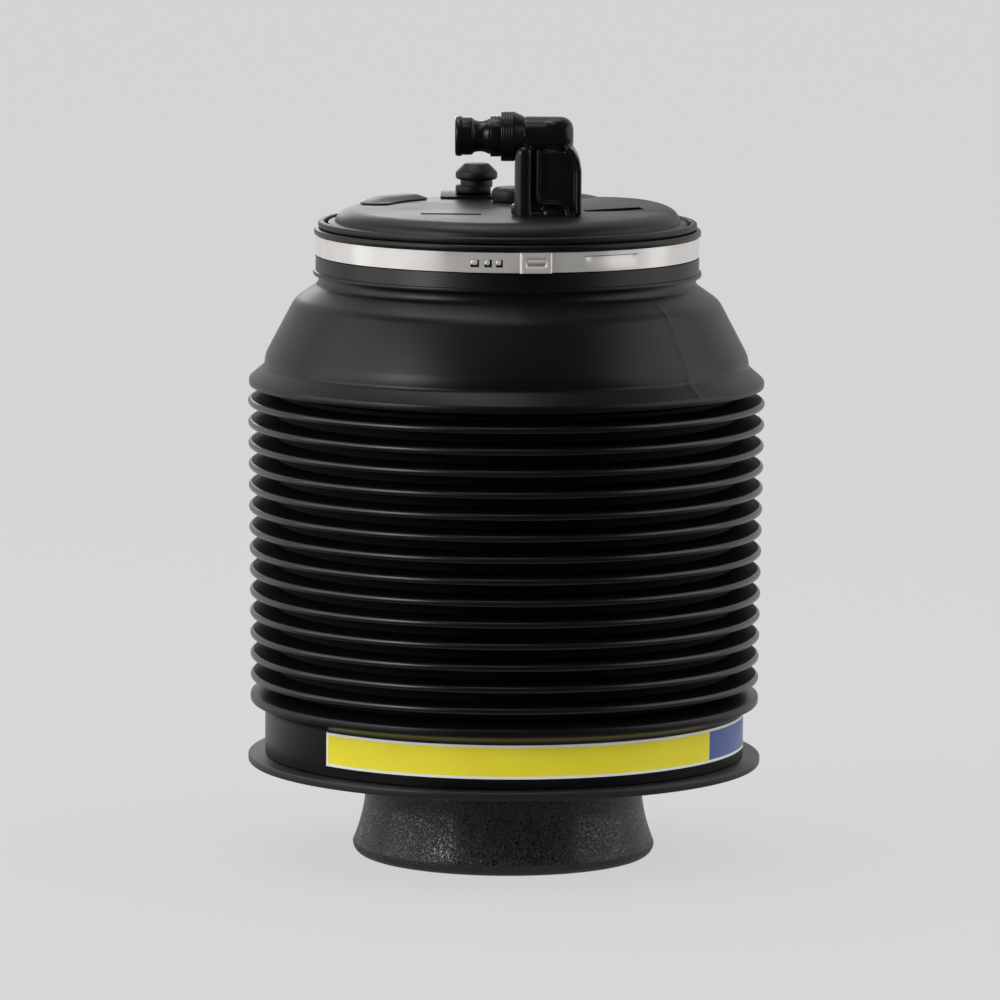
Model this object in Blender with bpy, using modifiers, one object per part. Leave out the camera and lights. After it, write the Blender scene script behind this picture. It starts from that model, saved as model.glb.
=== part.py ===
"""Air suspension spring with a ribbed dust boot and an elbow air fitting.

The spring stands on its piston's foot: +Z is up along the spring's axis, the origin is the centre
of the foot's underside, and -Y is the side that the elbow fitting's post stands on.
All sizes are in millimetres and become metres where a mesh is made.
"""

import math

import bmesh
import bpy
from mathutils import Vector

MM = 0.001
WELD = 0.00001
SIDES = 36
SMALL_SIDES = 20
TINY_SIDES = 16
FIT = 0.3

# Piston, the lower half that the suspension arm carries
FOOT_HEIGHT = 34.2
FOOT_STEP = 0.7
FOOT_SPREAD = 4.5
FOOT_EDGE = 4.4
FOOT_FLARE = 19.0
PISTON_GAP = 6.5
PISTON_HEIGHT = 125.5
PISTON_WALL = 4.0
PISTON_NECK_STEP = 10.5
PISTON_NECK_HEIGHT = 14.5
PISTON_SHOULDER = 7.0
FLOOR_THICKNESS = 4.0
INSERT_RADIUS = 8.0
INSERT_BORE = 4.2
INSERT_LENGTH = 16.0

# Boot, whose radii all follow from its widest rib and from its neck
BOOT_RADIUS = 95.0
RIB_DEPTH = 10.5
BOOT_TAPER = 1.3
NECK_RADIUS = 69.3

# Boot carrier and cuff, the bottom end of the dust boot
FLANGE_REACH = 0.8
FLANGE_THICKNESS = 3.0
CARRIER_HUB_HEIGHT = 12.5
CARRIER_WALL = 3.2
LOCK_RING_HEIGHT = 3.0
CUFF_STEP = 4.9
CUFF_WALL = 3.5
CUFF_HEIGHT = 16.9
CUFF_RIM = 2.8
CUFF_RIM_RISE = 2.6
CUFF_TUCK = 2.4
LABEL_START = -46.6
LABEL_END = 84.0
LABEL_HEIGHT = 12.3
LABEL_THICKNESS = 0.3

# Bellows
RIB_COUNT = 14
RIB_PITCH = 7.8
RIB_RIM = 2.4
RIB_ROOT = 3.6
BELLOWS_WALL = 1.7

# Boot shoulder, measured up from its bottom edge
SKIRT_STEP = 0.3
SKIRT_RIM = 2.4
SKIRT_TUCK = 1.9
SKIRT_SLOPE = 4.9
BELL_STEP = 5.7
BELL_STRAIGHT = 3.3
CONE_HEIGHT = 20.9
CREASE_SHARE = 0.4416
CROWN_HEIGHT = 6.0
NECK_HEIGHT = 20.3
NECK_STEP = 1.1
RIDGE_REACH = 2.0
RIDGE_HEIGHT = 1.8
RIDGE_RISE = 3.0
BEAD_REACH = 1.7
BEAD_HEIGHT = 2.2
BOOT_WALL = 1.6

# Clamp band round the neck
BAND_HEIGHT = 7.2
BAND_THICKNESS = 1.1
EAR_ANGLE = 8.3
EAR_WIDTH = 11.0
EAR_HEIGHT = 6.8
EAR_DEPTH = 2.2

# Support ring and top cap
RING_WALL = 3.0
RING_DEPTH = 19.5
RING_LIP_REACH = 0.2
RING_LIP_HEIGHT = 2.3
RING_MOUTH_GAP = 2.0
CAP_GAP = 5.9
CAP_CROWN = 4.8
CAP_CROWN_DEPTH = 8.0
CAP_RIM_REACH = 2.6
CAP_RISE = 4.4
CAP_PLATE = 4.2
CAP_BODY_DEPTH = 12.2
COLLAR_STEP = 6.4
COLLAR_WALL = 3.5
COLLAR_LENGTH = 17.0
SLOT_LENGTH = 22.0
SLOT_WIDTH = 1.2
SLOT_DEPTH = 1.2
PAD_EDGE = 6.4
PAD_WIDTH = 11.5
PAD_HEIGHT = 2.2
PAD_RIGHT_ANGLES = (51.0, 79.0)
PAD_LEFT_END = 167.0
PAD_CLEARANCE = 6.0

# Sleeve, its crimp rings and the bump stop
SLEEVE_WALL = 2.0
SLEEVE_BULGE = 4.0
SLEEVE_LOBE_BOTTOM = 75.0
CRIMP_WALL = 2.0
CRIMP_HEIGHT = 11.0
LOWER_CRIMP_HEIGHT = 8.0
BUMP_RADIUS = 17.0
BUMP_LENGTH = 36.1
BUMP_WAIST = 14.0
BUMP_CUP_RADIUS = 18.4
BUMP_CUP_THICKNESS = 2.0
BUMP_BOLT_RADIUS = 4.0
BUMP_HEAD_RADIUS = 7.0
BUMP_HEAD_HEIGHT = 5.0

# Fittings on the deck: places are X, Y from the spring's axis
STUD_OFFSET = -11.7
STUD_EDGE = 16.4
STUD_PLATE_SHIFT = -1.8
STUD_PLATE_LENGTH = 23.0
STUD_PLATE_DEPTH = 14.4
STUD_PLATE_THICKNESS = 1.5
STUD_BASE_RADIUS = 6.9
STUD_BASE_HEIGHT = 2.7
STUD_NECK_RADIUS = 5.9
STUD_NECK_HEIGHT = 2.0
STUD_HEAD_RADIUS = 7.8
STUD_HEAD_EDGE = 2.8
STUD_CROWN_RADIUS = 4.2
STUD_CROWN_HEIGHT = 3.2
PLUG_OFFSET = 2.6
PLUG_EDGE = 31.9
PLUG_RADIUS = 8.5
PLUG_HEIGHT = 5.0
PLUG_STEM_RADIUS = 5.0

# Elbow fitting: its post stands on the deck and its tube points to -X
ELBOW_PLACE = (16.4, -19.0)
ELBOW_RADIUS = 7.3
ELBOW_BORE = 3.2
ELBOW_AXIS_HEIGHT = 28.2
ELBOW_CORNER = 3.8
POST_WIDTH = 24.3
POST_DEPTH = 22.0
POST_LEFT_HEIGHT = 25.6
POST_RIGHT_HEIGHT = 18.8
POST_RIB_WIDTH = 7.6
POST_LIP_WIDTH = 2.7
POST_LIP_RISE = 6.0
POST_PANEL_DEPTH = 3.0
POST_SHELF_HEIGHT = 3.4
POST_EDGE = 1.2
SPIGOT_RADIUS = 6.0
SPIGOT_LENGTH = 7.0
SEAL_SECTION = 1.3

# Connector, measured along the tube from the barrel's axis towards -X
NUT_START = 10.7
NUT_TAPER = 4.1
NUT_LENGTH = 8.4
NUT_RADIUS = 9.1
NUT_WEB = 1.0
NOSE_RADIUS = 6.1
NOSE_WALL = 0.8
NOSE_SEAL_SECTION = 0.85
COLLET_RADIUS = 7.4
COLLET_LENGTH = 5.3
COLLET_ENGAGED = 1.7
COLLET_TRAVEL = 1.5
CAP_PIN_RADIUS = 2.8
CAP_PIN_LENGTH = 13.0
CAP_WAIST_RADIUS = 5.5
CAP_BODY_RADIUS = 6.9
CAP_DISC_RADIUS = 7.3
CAP_DISC_WIDTH = 2.6
CAP_BODY_WIDTH = 3.6
CAP_WAIST_WIDTH = 6.6

# Radii that follow from the sizes above
VALLEY_RADIUS = BOOT_RADIUS - RIB_DEPTH
RIB_TOP_RADIUS = BOOT_RADIUS
RIB_BOTTOM_RADIUS = BOOT_RADIUS - BOOT_TAPER
CUFF_RIM_RADIUS = RIB_BOTTOM_RADIUS
CUFF_RADIUS = RIB_BOTTOM_RADIUS - CUFF_STEP
FLANGE_RADIUS = RIB_BOTTOM_RADIUS + FLANGE_REACH
SKIRT_RADIUS = BOOT_RADIUS - SKIRT_STEP
BELL_RADIUS = SKIRT_RADIUS - BELL_STEP
CREASE_RADIUS = NECK_RADIUS + CREASE_SHARE * (BELL_RADIUS - NECK_RADIUS)
RIDGE_RADIUS = NECK_RADIUS + RIDGE_REACH
BEAD_RADIUS = NECK_RADIUS + BEAD_REACH
RING_LIP_RADIUS = NECK_RADIUS + RING_LIP_REACH
RING_MOUTH_RADIUS = NECK_RADIUS - RING_MOUTH_GAP
CAP_RADIUS = NECK_RADIUS - CAP_GAP
CAP_FLAT_RADIUS = CAP_RADIUS - CAP_CROWN_DEPTH
CAP_RIM_RADIUS = CAP_RADIUS + CAP_RIM_REACH
COLLAR_RADIUS = CAP_RADIUS - COLLAR_STEP
PAD_OUTER_RADIUS = CAP_RADIUS - PAD_EDGE
PAD_INNER_RADIUS = PAD_OUTER_RADIUS - PAD_WIDTH
SLEEVE_RADIUS = COLLAR_RADIUS + SLEEVE_BULGE
PISTON_RADIUS = COLLAR_RADIUS - PISTON_GAP
PISTON_NECK_RADIUS = PISTON_RADIUS - PISTON_NECK_STEP
FOOT_TOP_RADIUS = PISTON_RADIUS + FOOT_STEP
FOOT_RADIUS = FOOT_TOP_RADIUS + FOOT_SPREAD

# Places of the stud and the plug, in from the cap's edge
STUD_PLACE = (STUD_OFFSET, CAP_RADIUS - STUD_EDGE)
PLUG_PLACE = (PLUG_OFFSET, CAP_RADIUS - PLUG_EDGE)

# The left pad starts beside the stud plate's near corner, in degrees from +X
PLATE_LEFT = STUD_OFFSET + STUD_PLATE_SHIFT - STUD_PLATE_LENGTH / 2.0
PLATE_FRONT = STUD_PLACE[1] - STUD_PLATE_DEPTH / 2.0
PAD_LEFT_START = math.degrees(math.atan2(PLATE_FRONT, PLATE_LEFT)) + PAD_CLEARANCE
PAD_ANGLES = (PAD_RIGHT_ANGLES, (PAD_LEFT_START, PAD_LEFT_END))

# Heights that follow from the sizes above
FLANGE_BOTTOM = FOOT_HEIGHT + FIT
FLANGE_TOP = FLANGE_BOTTOM + FLANGE_THICKNESS
CUFF_BOTTOM = FLANGE_TOP + FIT
CUFF_TOP = CUFF_BOTTOM + CUFF_HEIGHT
CUFF_RIM_BOTTOM = CUFF_TOP + CUFF_RIM_RISE
CUFF_RIM_TOP = CUFF_RIM_BOTTOM + CUFF_RIM
CUFF_END = CUFF_RIM_TOP + CUFF_TUCK
BELLOWS_BOTTOM = CUFF_END + FIT
BELLOWS_TOP = BELLOWS_BOTTOM + RIB_COUNT * RIB_PITCH
SKIRT_BOTTOM = BELLOWS_TOP + FIT
SKIRT_TOP = SKIRT_BOTTOM + SKIRT_TUCK + SKIRT_RIM
BELL_BOTTOM = SKIRT_TOP + SKIRT_SLOPE
BELL_TOP = BELL_BOTTOM + BELL_STRAIGHT
CREASE_HEIGHT = BELL_TOP + CONE_HEIGHT
NECK_BOTTOM = CREASE_HEIGHT + CROWN_HEIGHT
NECK_TOP = NECK_BOTTOM + NECK_HEIGHT
LIP_BOTTOM = NECK_TOP + FIT
LIP_TOP = LIP_BOTTOM + RING_LIP_HEIGHT
RING_LEDGE = LIP_BOTTOM - RING_LIP_HEIGHT / 2.0
DECK = LIP_TOP + CAP_RISE
DECK_UNDERSIDE = DECK - CAP_PLATE
CAP_BODY_BOTTOM = DECK - CAP_CROWN - CAP_BODY_DEPTH
COLLAR_BOTTOM = CAP_BODY_BOTTOM - COLLAR_LENGTH
CUP_BOTTOM = DECK_UNDERSIDE - FIT - BUMP_CUP_THICKNESS
BUMP_TOP = CUP_BOTTOM - FIT
BUMP_BOTTOM = BUMP_TOP - BUMP_LENGTH
ELBOW_AXIS = DECK + ELBOW_AXIS_HEIGHT

# Places along the tube that follow from the connector's sizes
NUT_END = NUT_START + NUT_LENGTH
COLLET_START = NUT_END - COLLET_ENGAGED
COLLET_SEAT = COLLET_START - COLLET_TRAVEL - FIT
NOSE_END = COLLET_SEAT - NUT_WEB - FIT


def material(name, color, roughness, metallic=0.0):
    """A Principled material with a plain colour, roughness and metallic value."""
    made = bpy.data.materials.new(name)
    made.use_nodes = True
    shader = made.node_tree.nodes["Principled BSDF"]
    shader.inputs["Base Color"].default_value = (*color, 1.0)
    shader.inputs["Roughness"].default_value = roughness
    shader.inputs["Metallic"].default_value = metallic
    made.diffuse_color = (*color, 1.0)
    return made


def empty(name, place=(0.0, 0.0, 0.0)):
    """An empty that carries the pieces of one moving assembly."""
    made = bpy.data.objects.new(name, None)
    made.location = Vector(place) * MM
    SPRING.objects.link(made)
    return made


def place_object(name, mesh, finish, parent, centre=(0.0, 0.0, 0.0), turn=None):
    """Link a mesh as a named part, on its parent empty and at a world place in millimetres."""
    made = bpy.data.objects.new(name, mesh)
    SPRING.objects.link(made)
    mesh.materials.append(finish)
    made.parent = parent
    made.location = Vector(centre) * MM - parent.location
    if turn:
        made.rotation_euler = turn
    return made


def settle(part):
    """Replace a part's mesh by its evaluated one, shaded smooth with crisp corners."""
    bpy.context.view_layer.update()
    seen = part.evaluated_get(bpy.context.evaluated_depsgraph_get())
    mesh = bpy.data.meshes.new_from_object(seen)
    part.modifiers.clear()
    part.data = mesh
    mesh.shade_smooth()
    mesh.set_sharp_from_angle(angle=math.radians(35))
    return part


def profile_mesh(name, profile, closed):
    """A mesh of edges through (radius, height) points in the XZ plane."""
    mesh = bpy.data.meshes.new(name)
    form = bmesh.new()
    points = [form.verts.new((radius * MM, 0.0, height * MM)) for radius, height in profile]
    for start, end in zip(points, points[1:]):
        form.edges.new((start, end))
    if closed:
        form.edges.new((points[-1], points[0]))
    form.to_mesh(mesh)
    form.free()
    return mesh


def turned(name, profile, finish, parent, centre=(0.0, 0.0, 0.0), sides=SIDES, turn=None):
    """A turned piece. Its profile runs down the outer side and back up inside or on the axis."""
    on_axis = min(radius for radius, height in profile) < WELD
    mesh = profile_mesh(name, profile, closed=not on_axis)
    part = place_object(name, mesh, finish, parent, centre, turn)
    screw = part.modifiers.new("Turn", "SCREW")
    screw.steps = sides
    screw.render_steps = sides
    screw.use_merge_vertices = True
    screw.merge_threshold = WELD
    if on_axis:
        weld = part.modifiers.new("Poles", "WELD")
        weld.merge_threshold = WELD
    return settle(part)


def cylinder(name, radius, low, high, sides=TINY_SIDES):
    """A solid cylinder's mesh along Z, between two heights."""
    mesh = bpy.data.meshes.new(name)
    form = bmesh.new()
    bmesh.ops.create_cone(form, cap_ends=True, segments=sides, radius1=radius * MM,
                          radius2=radius * MM, depth=(high - low) * MM)
    bmesh.ops.translate(form, verts=form.verts, vec=(0.0, 0.0, (low + high) / 2.0 * MM))
    form.to_mesh(mesh)
    form.free()
    return mesh


def block(name, low, high, edge=0.0, axis=None):
    """A box's mesh between two corners, with rounded edges where an edge radius is given."""
    mesh = bpy.data.meshes.new(name)
    form = bmesh.new()
    bmesh.ops.create_cube(form, size=MM)
    size = Vector(high) - Vector(low)
    bmesh.ops.scale(form, verts=form.verts, vec=size)
    if edge:
        edges = [item for item in form.edges if axis is None or runs_along(item, axis)]
        bmesh.ops.bevel(form, geom=edges, offset=edge * MM, segments=2, profile=0.5,
                        affect="EDGES", material=-1)
    middle = (Vector(low) + Vector(high)) / 2.0
    bmesh.ops.translate(form, verts=form.verts, vec=middle * MM)
    form.to_mesh(mesh)
    form.free()
    return mesh


def runs_along(edge, axis):
    """Whether a bmesh edge is parallel to the axis with this number."""
    run = edge.verts[1].co - edge.verts[0].co
    return abs(run[axis]) > 0.99 * run.length


def tool(name, mesh, centre=(0.0, 0.0, 0.0), turn=None):
    """A hidden object that cuts or joins a part."""
    made = bpy.data.objects.new(name, mesh)
    TOOLS.objects.link(made)
    made.location = Vector(centre) * MM
    if turn:
        made.rotation_euler = turn
    made.hide_render = True
    made.display_type = "WIRE"
    return made


def combine(part, other, operation):
    """Cut a tool from a part, or join it to the part."""
    change = part.modifiers.new(other.name, "BOOLEAN")
    change.operation = operation
    change.object = other
    return change


def wrapped_strip(name, radius, low, high, start, end, thickness, finish, parent):
    """A thin strip bent round the spring's axis. Angles are in degrees from the front, -Y."""
    steps = math.ceil(SIDES * (end - start) / 360.0)
    mesh = bpy.data.meshes.new(name)
    form = bmesh.new()
    bmesh.ops.create_grid(form, x_segments=steps, y_segments=1, size=0.5)
    for vert in form.verts:
        angle = math.radians(start + (vert.co.x + 0.5) * (end - start))
        height = low + (vert.co.y + 0.5) * (high - low)
        vert.co = Vector((math.sin(angle) * radius, -math.cos(angle) * radius, height)) * MM
    bmesh.ops.recalc_face_normals(form, faces=form.faces)
    face_outwards(form, Vector((math.sin(math.radians(start)), -math.cos(math.radians(start)), 0.0)))
    form.to_mesh(mesh)
    form.free()
    part = place_object(name, mesh, finish, parent)
    shell = part.modifiers.new("Wall", "SOLIDIFY")
    shell.thickness = thickness * MM
    shell.offset = 1.0
    return settle(part)


def face_outwards(form, outwards):
    """Turn all faces over if the nearest one to a direction looks the wrong way."""
    nearest = max(form.faces, key=lambda face: face.calc_center_median().dot(outwards))
    if nearest.normal.dot(outwards) < 0.0:
        bmesh.ops.reverse_faces(form, faces=form.faces)


def sector_pad(name, inner, outer, low, high, start, end, finish, parent):
    """A flat pad bent round the axis. Angles are in degrees from +X, anticlockwise."""
    steps = math.ceil((end - start) / 6.0)
    mesh = bpy.data.meshes.new(name)
    form = bmesh.new()
    bmesh.ops.create_grid(form, x_segments=steps, y_segments=1, size=0.5)
    for vert in form.verts:
        angle = math.radians(start + (vert.co.x + 0.5) * (end - start))
        radius = inner + (vert.co.y + 0.5) * (outer - inner)
        vert.co = Vector((math.cos(angle) * radius, math.sin(angle) * radius, low)) * MM
    bmesh.ops.recalc_face_normals(form, faces=form.faces)
    if form.faces[:][0].normal.z < 0.0:
        bmesh.ops.reverse_faces(form, faces=form.faces)
    form.to_mesh(mesh)
    form.free()
    part = place_object(name, mesh, finish, parent)
    shell = part.modifiers.new("Height", "SOLIDIFY")
    shell.thickness = (high - low) * MM
    shell.offset = 1.0
    return settle(part)


def seal_ring(name, radius, section, finish, parent, centre, turn=None):
    """An O-ring round a radius."""
    count = 8
    angles = [-2.0 * math.pi * step / count for step in range(count)]
    profile = [(radius + section * math.cos(a), section * math.sin(a)) for a in angles]
    return turned(name, profile, finish, parent, centre, SMALL_SIDES, turn)


def foot_outline():
    """The foot's outer side, from its top down to the floor: a hollow flare, then a round edge."""
    points = [(FOOT_TOP_RADIUS, FOOT_HEIGHT)]
    for step in range(5):
        share = step / 4.0
        swell = (FOOT_RADIUS - FOOT_TOP_RADIUS) * share ** 1.7
        points.append((FOOT_TOP_RADIUS + swell, FOOT_EDGE + FOOT_FLARE * (1.0 - share)))
    for step in range(1, 4):
        angle = math.radians(30.0 * step)
        points.append((FOOT_RADIUS - FOOT_EDGE * (1.0 - math.cos(angle)),
                       FOOT_EDGE * (1.0 - math.sin(angle))))
    return points


def make_piston(parent):
    """The piston with its foot, open at the bottom, and the floor and thread that close it."""
    neck_bottom = PISTON_HEIGHT - PISTON_NECK_HEIGHT
    bore = PISTON_RADIUS - PISTON_WALL
    neck_bore = PISTON_NECK_RADIUS - PISTON_WALL
    profile = [
        (0.0, PISTON_HEIGHT),
        (PISTON_NECK_RADIUS, PISTON_HEIGHT),
        (PISTON_NECK_RADIUS, neck_bottom),
        (PISTON_RADIUS, neck_bottom - PISTON_SHOULDER),
        (PISTON_RADIUS, FOOT_HEIGHT),
        *foot_outline(),
        (bore, 0.0),
        (bore, neck_bottom - PISTON_SHOULDER - PISTON_WALL),
        (neck_bore, neck_bottom - PISTON_WALL),
        (neck_bore, PISTON_HEIGHT - PISTON_WALL),
        (0.0, PISTON_HEIGHT - PISTON_WALL),
    ]
    turned("piston", profile, PISTON_PLASTIC, parent)
    hole = INSERT_RADIUS + FIT
    floor = [
        (bore - FIT, FLOOR_THICKNESS),
        (bore - FIT, 0.0),
        (hole, 0.0),
        (hole, INSERT_LENGTH),
        (hole + PISTON_WALL, INSERT_LENGTH),
        (hole + PISTON_WALL, FLOOR_THICKNESS),
    ]
    turned("piston_floor", floor, BLACK_PLASTIC, parent)
    insert = [
        (INSERT_RADIUS, INSERT_LENGTH),
        (INSERT_RADIUS, 0.0),
        (INSERT_BORE, 0.0),
        (INSERT_BORE, INSERT_LENGTH),
    ]
    turned("arm_insert", insert, STEEL, parent, sides=SMALL_SIDES)


def make_boot_carrier(parent):
    """The flange that closes the boot at the bottom, its hub on the piston and its lock ring."""
    hub_bore = PISTON_RADIUS + FIT
    hub = hub_bore + CARRIER_WALL
    hub_top = FLANGE_TOP + CARRIER_HUB_HEIGHT
    spigot = CUFF_RADIUS - CUFF_WALL - FIT
    spigot_top = CUFF_TOP - 3.0 * FIT
    profile = [
        (spigot - CARRIER_WALL, spigot_top),
        (spigot, spigot_top),
        (spigot, FLANGE_TOP),
        (FLANGE_RADIUS, FLANGE_TOP),
        (FLANGE_RADIUS, FLANGE_BOTTOM),
        (hub_bore, FLANGE_BOTTOM),
        (hub_bore, hub_top),
        (hub, hub_top),
        (hub, FLANGE_TOP),
        (spigot - CARRIER_WALL, FLANGE_TOP),
    ]
    turned("boot_carrier", profile, BOOT_RUBBER, parent)
    lock_bottom = hub_top + FIT
    lock = [
        (hub, lock_bottom + LOCK_RING_HEIGHT),
        (hub, lock_bottom),
        (hub_bore, lock_bottom),
        (hub_bore, lock_bottom + LOCK_RING_HEIGHT),
    ]
    turned("carrier_lock_ring", lock, STEEL, parent)


def make_boot_cuff(parent):
    """The boot's collar above the flange with the rim that ends the ribs, and its label."""
    bore = CUFF_RADIUS - CUFF_WALL
    neck = VALLEY_RADIUS - BELLOWS_WALL
    profile = [
        (VALLEY_RADIUS, CUFF_END),
        (CUFF_RIM_RADIUS, CUFF_RIM_TOP),
        (CUFF_RIM_RADIUS, CUFF_RIM_BOTTOM),
        (CUFF_RADIUS, CUFF_TOP),
        (CUFF_RADIUS, CUFF_BOTTOM),
        (bore, CUFF_BOTTOM),
        (bore, CUFF_TOP),
        (neck, CUFF_RIM_BOTTOM),
        (neck, CUFF_END),
    ]
    turned("boot_cuff", profile, BOOT_RUBBER, parent)
    middle = (CUFF_TOP + CUFF_BOTTOM) / 2.0 + FIT * 5.0
    wrapped_strip("label", CUFF_RADIUS + FIT, middle - LABEL_HEIGHT / 2.0,
                  middle + LABEL_HEIGHT / 2.0, LABEL_START, LABEL_END, LABEL_THICKNESS,
                  LABEL_YELLOW, parent)


def make_bellows(parent):
    """The ribbed part of the boot: narrow flat-edged ribs over deep grooves."""
    profile = [(VALLEY_RADIUS, BELLOWS_TOP)]
    for rib in range(RIB_COUNT):
        middle = BELLOWS_TOP - (rib + 0.5) * RIB_PITCH
        share = rib / (RIB_COUNT - 1)
        radius = RIB_TOP_RADIUS + (RIB_BOTTOM_RADIUS - RIB_TOP_RADIUS) * share
        profile.append((VALLEY_RADIUS, middle + RIB_ROOT / 2.0))
        profile.append((radius, middle + RIB_RIM / 2.0))
        profile.append((radius, middle - RIB_RIM / 2.0))
        profile.append((VALLEY_RADIUS, middle - RIB_ROOT / 2.0))
    profile.append((VALLEY_RADIUS, BELLOWS_BOTTOM))
    bore = VALLEY_RADIUS - BELLOWS_WALL
    profile.append((bore, BELLOWS_BOTTOM))
    profile.append((bore, BELLOWS_TOP))
    turned("boot_bellows", profile, BOOT_RUBBER, parent)


def make_boot_shoulder(parent):
    """The boot's bell: bead, clamp seat and ridge on the neck, crown, cone and skirt."""
    ridge_bottom = NECK_BOTTOM + RIDGE_RISE
    seat_bottom = NECK_TOP - BEAD_HEIGHT - BAND_HEIGHT - 2.0 * FIT
    profile = [
        (BEAD_RADIUS, NECK_TOP),
        (BEAD_RADIUS, NECK_TOP - BEAD_HEIGHT),
        (NECK_RADIUS, NECK_TOP - BEAD_HEIGHT),
        (NECK_RADIUS, seat_bottom),
        (NECK_RADIUS + NECK_STEP, seat_bottom),
        (NECK_RADIUS + NECK_STEP, ridge_bottom + RIDGE_HEIGHT),
        (RIDGE_RADIUS, ridge_bottom + RIDGE_HEIGHT),
        (RIDGE_RADIUS, ridge_bottom),
        (NECK_RADIUS, ridge_bottom),
        (NECK_RADIUS, NECK_BOTTOM),
        (CREASE_RADIUS, CREASE_HEIGHT),
        (BELL_RADIUS, BELL_TOP),
        (BELL_RADIUS, BELL_BOTTOM),
        (SKIRT_RADIUS, SKIRT_TOP),
        (SKIRT_RADIUS, SKIRT_BOTTOM + SKIRT_TUCK),
        (VALLEY_RADIUS, SKIRT_BOTTOM),
        (VALLEY_RADIUS - BELLOWS_WALL, SKIRT_BOTTOM),
        (BELL_RADIUS - BOOT_WALL, BELL_BOTTOM - BOOT_WALL),
        (BELL_RADIUS - BOOT_WALL, BELL_TOP - BOOT_WALL / 3.0),
        (CREASE_RADIUS - BOOT_WALL, CREASE_HEIGHT - BOOT_WALL),
        (NECK_RADIUS - BOOT_WALL, NECK_BOTTOM - BOOT_WALL),
        (NECK_RADIUS - BOOT_WALL, NECK_TOP),
    ]
    turned("boot_shoulder", profile, BOOT_RUBBER, parent)


def make_clamp_band(parent):
    """The steel band round the neck, with its closed ear at the front."""
    bore = NECK_RADIUS + FIT
    radius = bore + BAND_THICKNESS
    top = NECK_TOP - BEAD_HEIGHT - FIT
    bottom = top - BAND_HEIGHT
    profile = [(radius, top), (radius, bottom), (bore, bottom), (bore, top)]
    band = turned("clamp_band", profile, STEEL, parent)
    middle = (top + bottom) / 2.0
    ear = block("ear", (-EAR_WIDTH / 2.0, -radius - EAR_DEPTH, middle - EAR_HEIGHT / 2.0),
                (EAR_WIDTH / 2.0, -bore - BAND_THICKNESS / 2.0, middle + EAR_HEIGHT / 2.0),
                EAR_DEPTH / 3.0, axis=2)
    combine(band, tool("ear", ear, turn=(0.0, 0.0, math.radians(EAR_ANGLE))), "UNION")


def make_support_ring(parent):
    """The stiff ring under the clamped neck, whose lip is the rim round the cap."""
    wall = NECK_RADIUS - BOOT_WALL - FIT
    bore = wall - RING_WALL
    profile = [
        (RING_MOUTH_RADIUS, LIP_TOP),
        (RING_LIP_RADIUS, LIP_TOP),
        (RING_LIP_RADIUS, LIP_BOTTOM),
        (wall, LIP_BOTTOM),
        (wall, LIP_TOP - RING_DEPTH),
        (bore, LIP_TOP - RING_DEPTH),
        (bore, RING_LEDGE),
        (RING_MOUTH_RADIUS, RING_LEDGE),
    ]
    turned("support_ring", profile, BLACK_PLASTIC, parent)


def cap_crown():
    """The cap's rolled edge, from the flat deck down to its side, as a quarter of an ellipse."""
    points = []
    for step in range(6):
        angle = math.radians(90.0 - 18.0 * step)
        points.append((CAP_FLAT_RADIUS + (CAP_RADIUS - CAP_FLAT_RADIUS) * math.cos(angle),
                       DECK - CAP_CROWN * (1.0 - math.sin(angle))))
    return points


def make_cap(parent):
    """The cap that closes the air sleeve at the top, with its two slots and its fitting holes."""
    flange = NECK_RADIUS - BOOT_WALL - RING_WALL - 2.0 * FIT
    profile = [
        (0.0, DECK),
        *cap_crown(),
        (CAP_RIM_RADIUS, DECK - CAP_CROWN),
        (CAP_RIM_RADIUS, RING_LEDGE + FIT),
        (CAP_RADIUS, RING_LEDGE + FIT),
        (CAP_RADIUS, CAP_BODY_BOTTOM + CAP_PLATE),
        (flange, CAP_BODY_BOTTOM + CAP_PLATE),
        (flange, CAP_BODY_BOTTOM),
        (COLLAR_RADIUS, CAP_BODY_BOTTOM),
        (COLLAR_RADIUS, COLLAR_BOTTOM),
        (COLLAR_RADIUS - COLLAR_WALL, COLLAR_BOTTOM),
        (COLLAR_RADIUS - COLLAR_WALL, DECK_UNDERSIDE - CAP_PLATE),
        (COLLAR_RADIUS - COLLAR_WALL - CAP_PLATE, DECK_UNDERSIDE),
        (0.0, DECK_UNDERSIDE),
    ]
    cap = turned("top_cap", profile, BLACK_PLASTIC, parent)
    for number, (centre_x, centre_y, angle) in enumerate(SLOT_PLACES):
        slot = block("slot", (-SLOT_LENGTH / 2.0, -SLOT_WIDTH / 2.0, DECK - SLOT_DEPTH),
                     (SLOT_LENGTH / 2.0, SLOT_WIDTH / 2.0, DECK + SLOT_DEPTH))
        cutter = tool(f"slot_{number}", slot, (centre_x, centre_y, 0.0),
                      (0.0, 0.0, math.radians(angle)))
        combine(cap, cutter, "DIFFERENCE")
    for name, place, radius in (("elbow_hole", ELBOW_PLACE, SPIGOT_RADIUS + FIT),
                                ("plug_hole", PLUG_PLACE, PLUG_STEM_RADIUS + FIT)):
        hole = cylinder(name, radius, DECK_UNDERSIDE - FIT, DECK + FIT, SMALL_SIDES)
        combine(cap, tool(name, hole, (*place, 0.0)), "DIFFERENCE")
    seat = cylinder("seal_seat", seal_seat_radius(), DECK - 2.0 * SEAL_SECTION - FIT, DECK + FIT,
                    SMALL_SIDES)
    combine(cap, tool("seal_seat", seat, (*ELBOW_PLACE, 0.0)), "DIFFERENCE")


def seal_seat_radius():
    """The radius of the pocket round the elbow's spigot that holds its seal."""
    return SPIGOT_RADIUS + 2.0 * SEAL_SECTION + 2.0 * FIT


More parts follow.
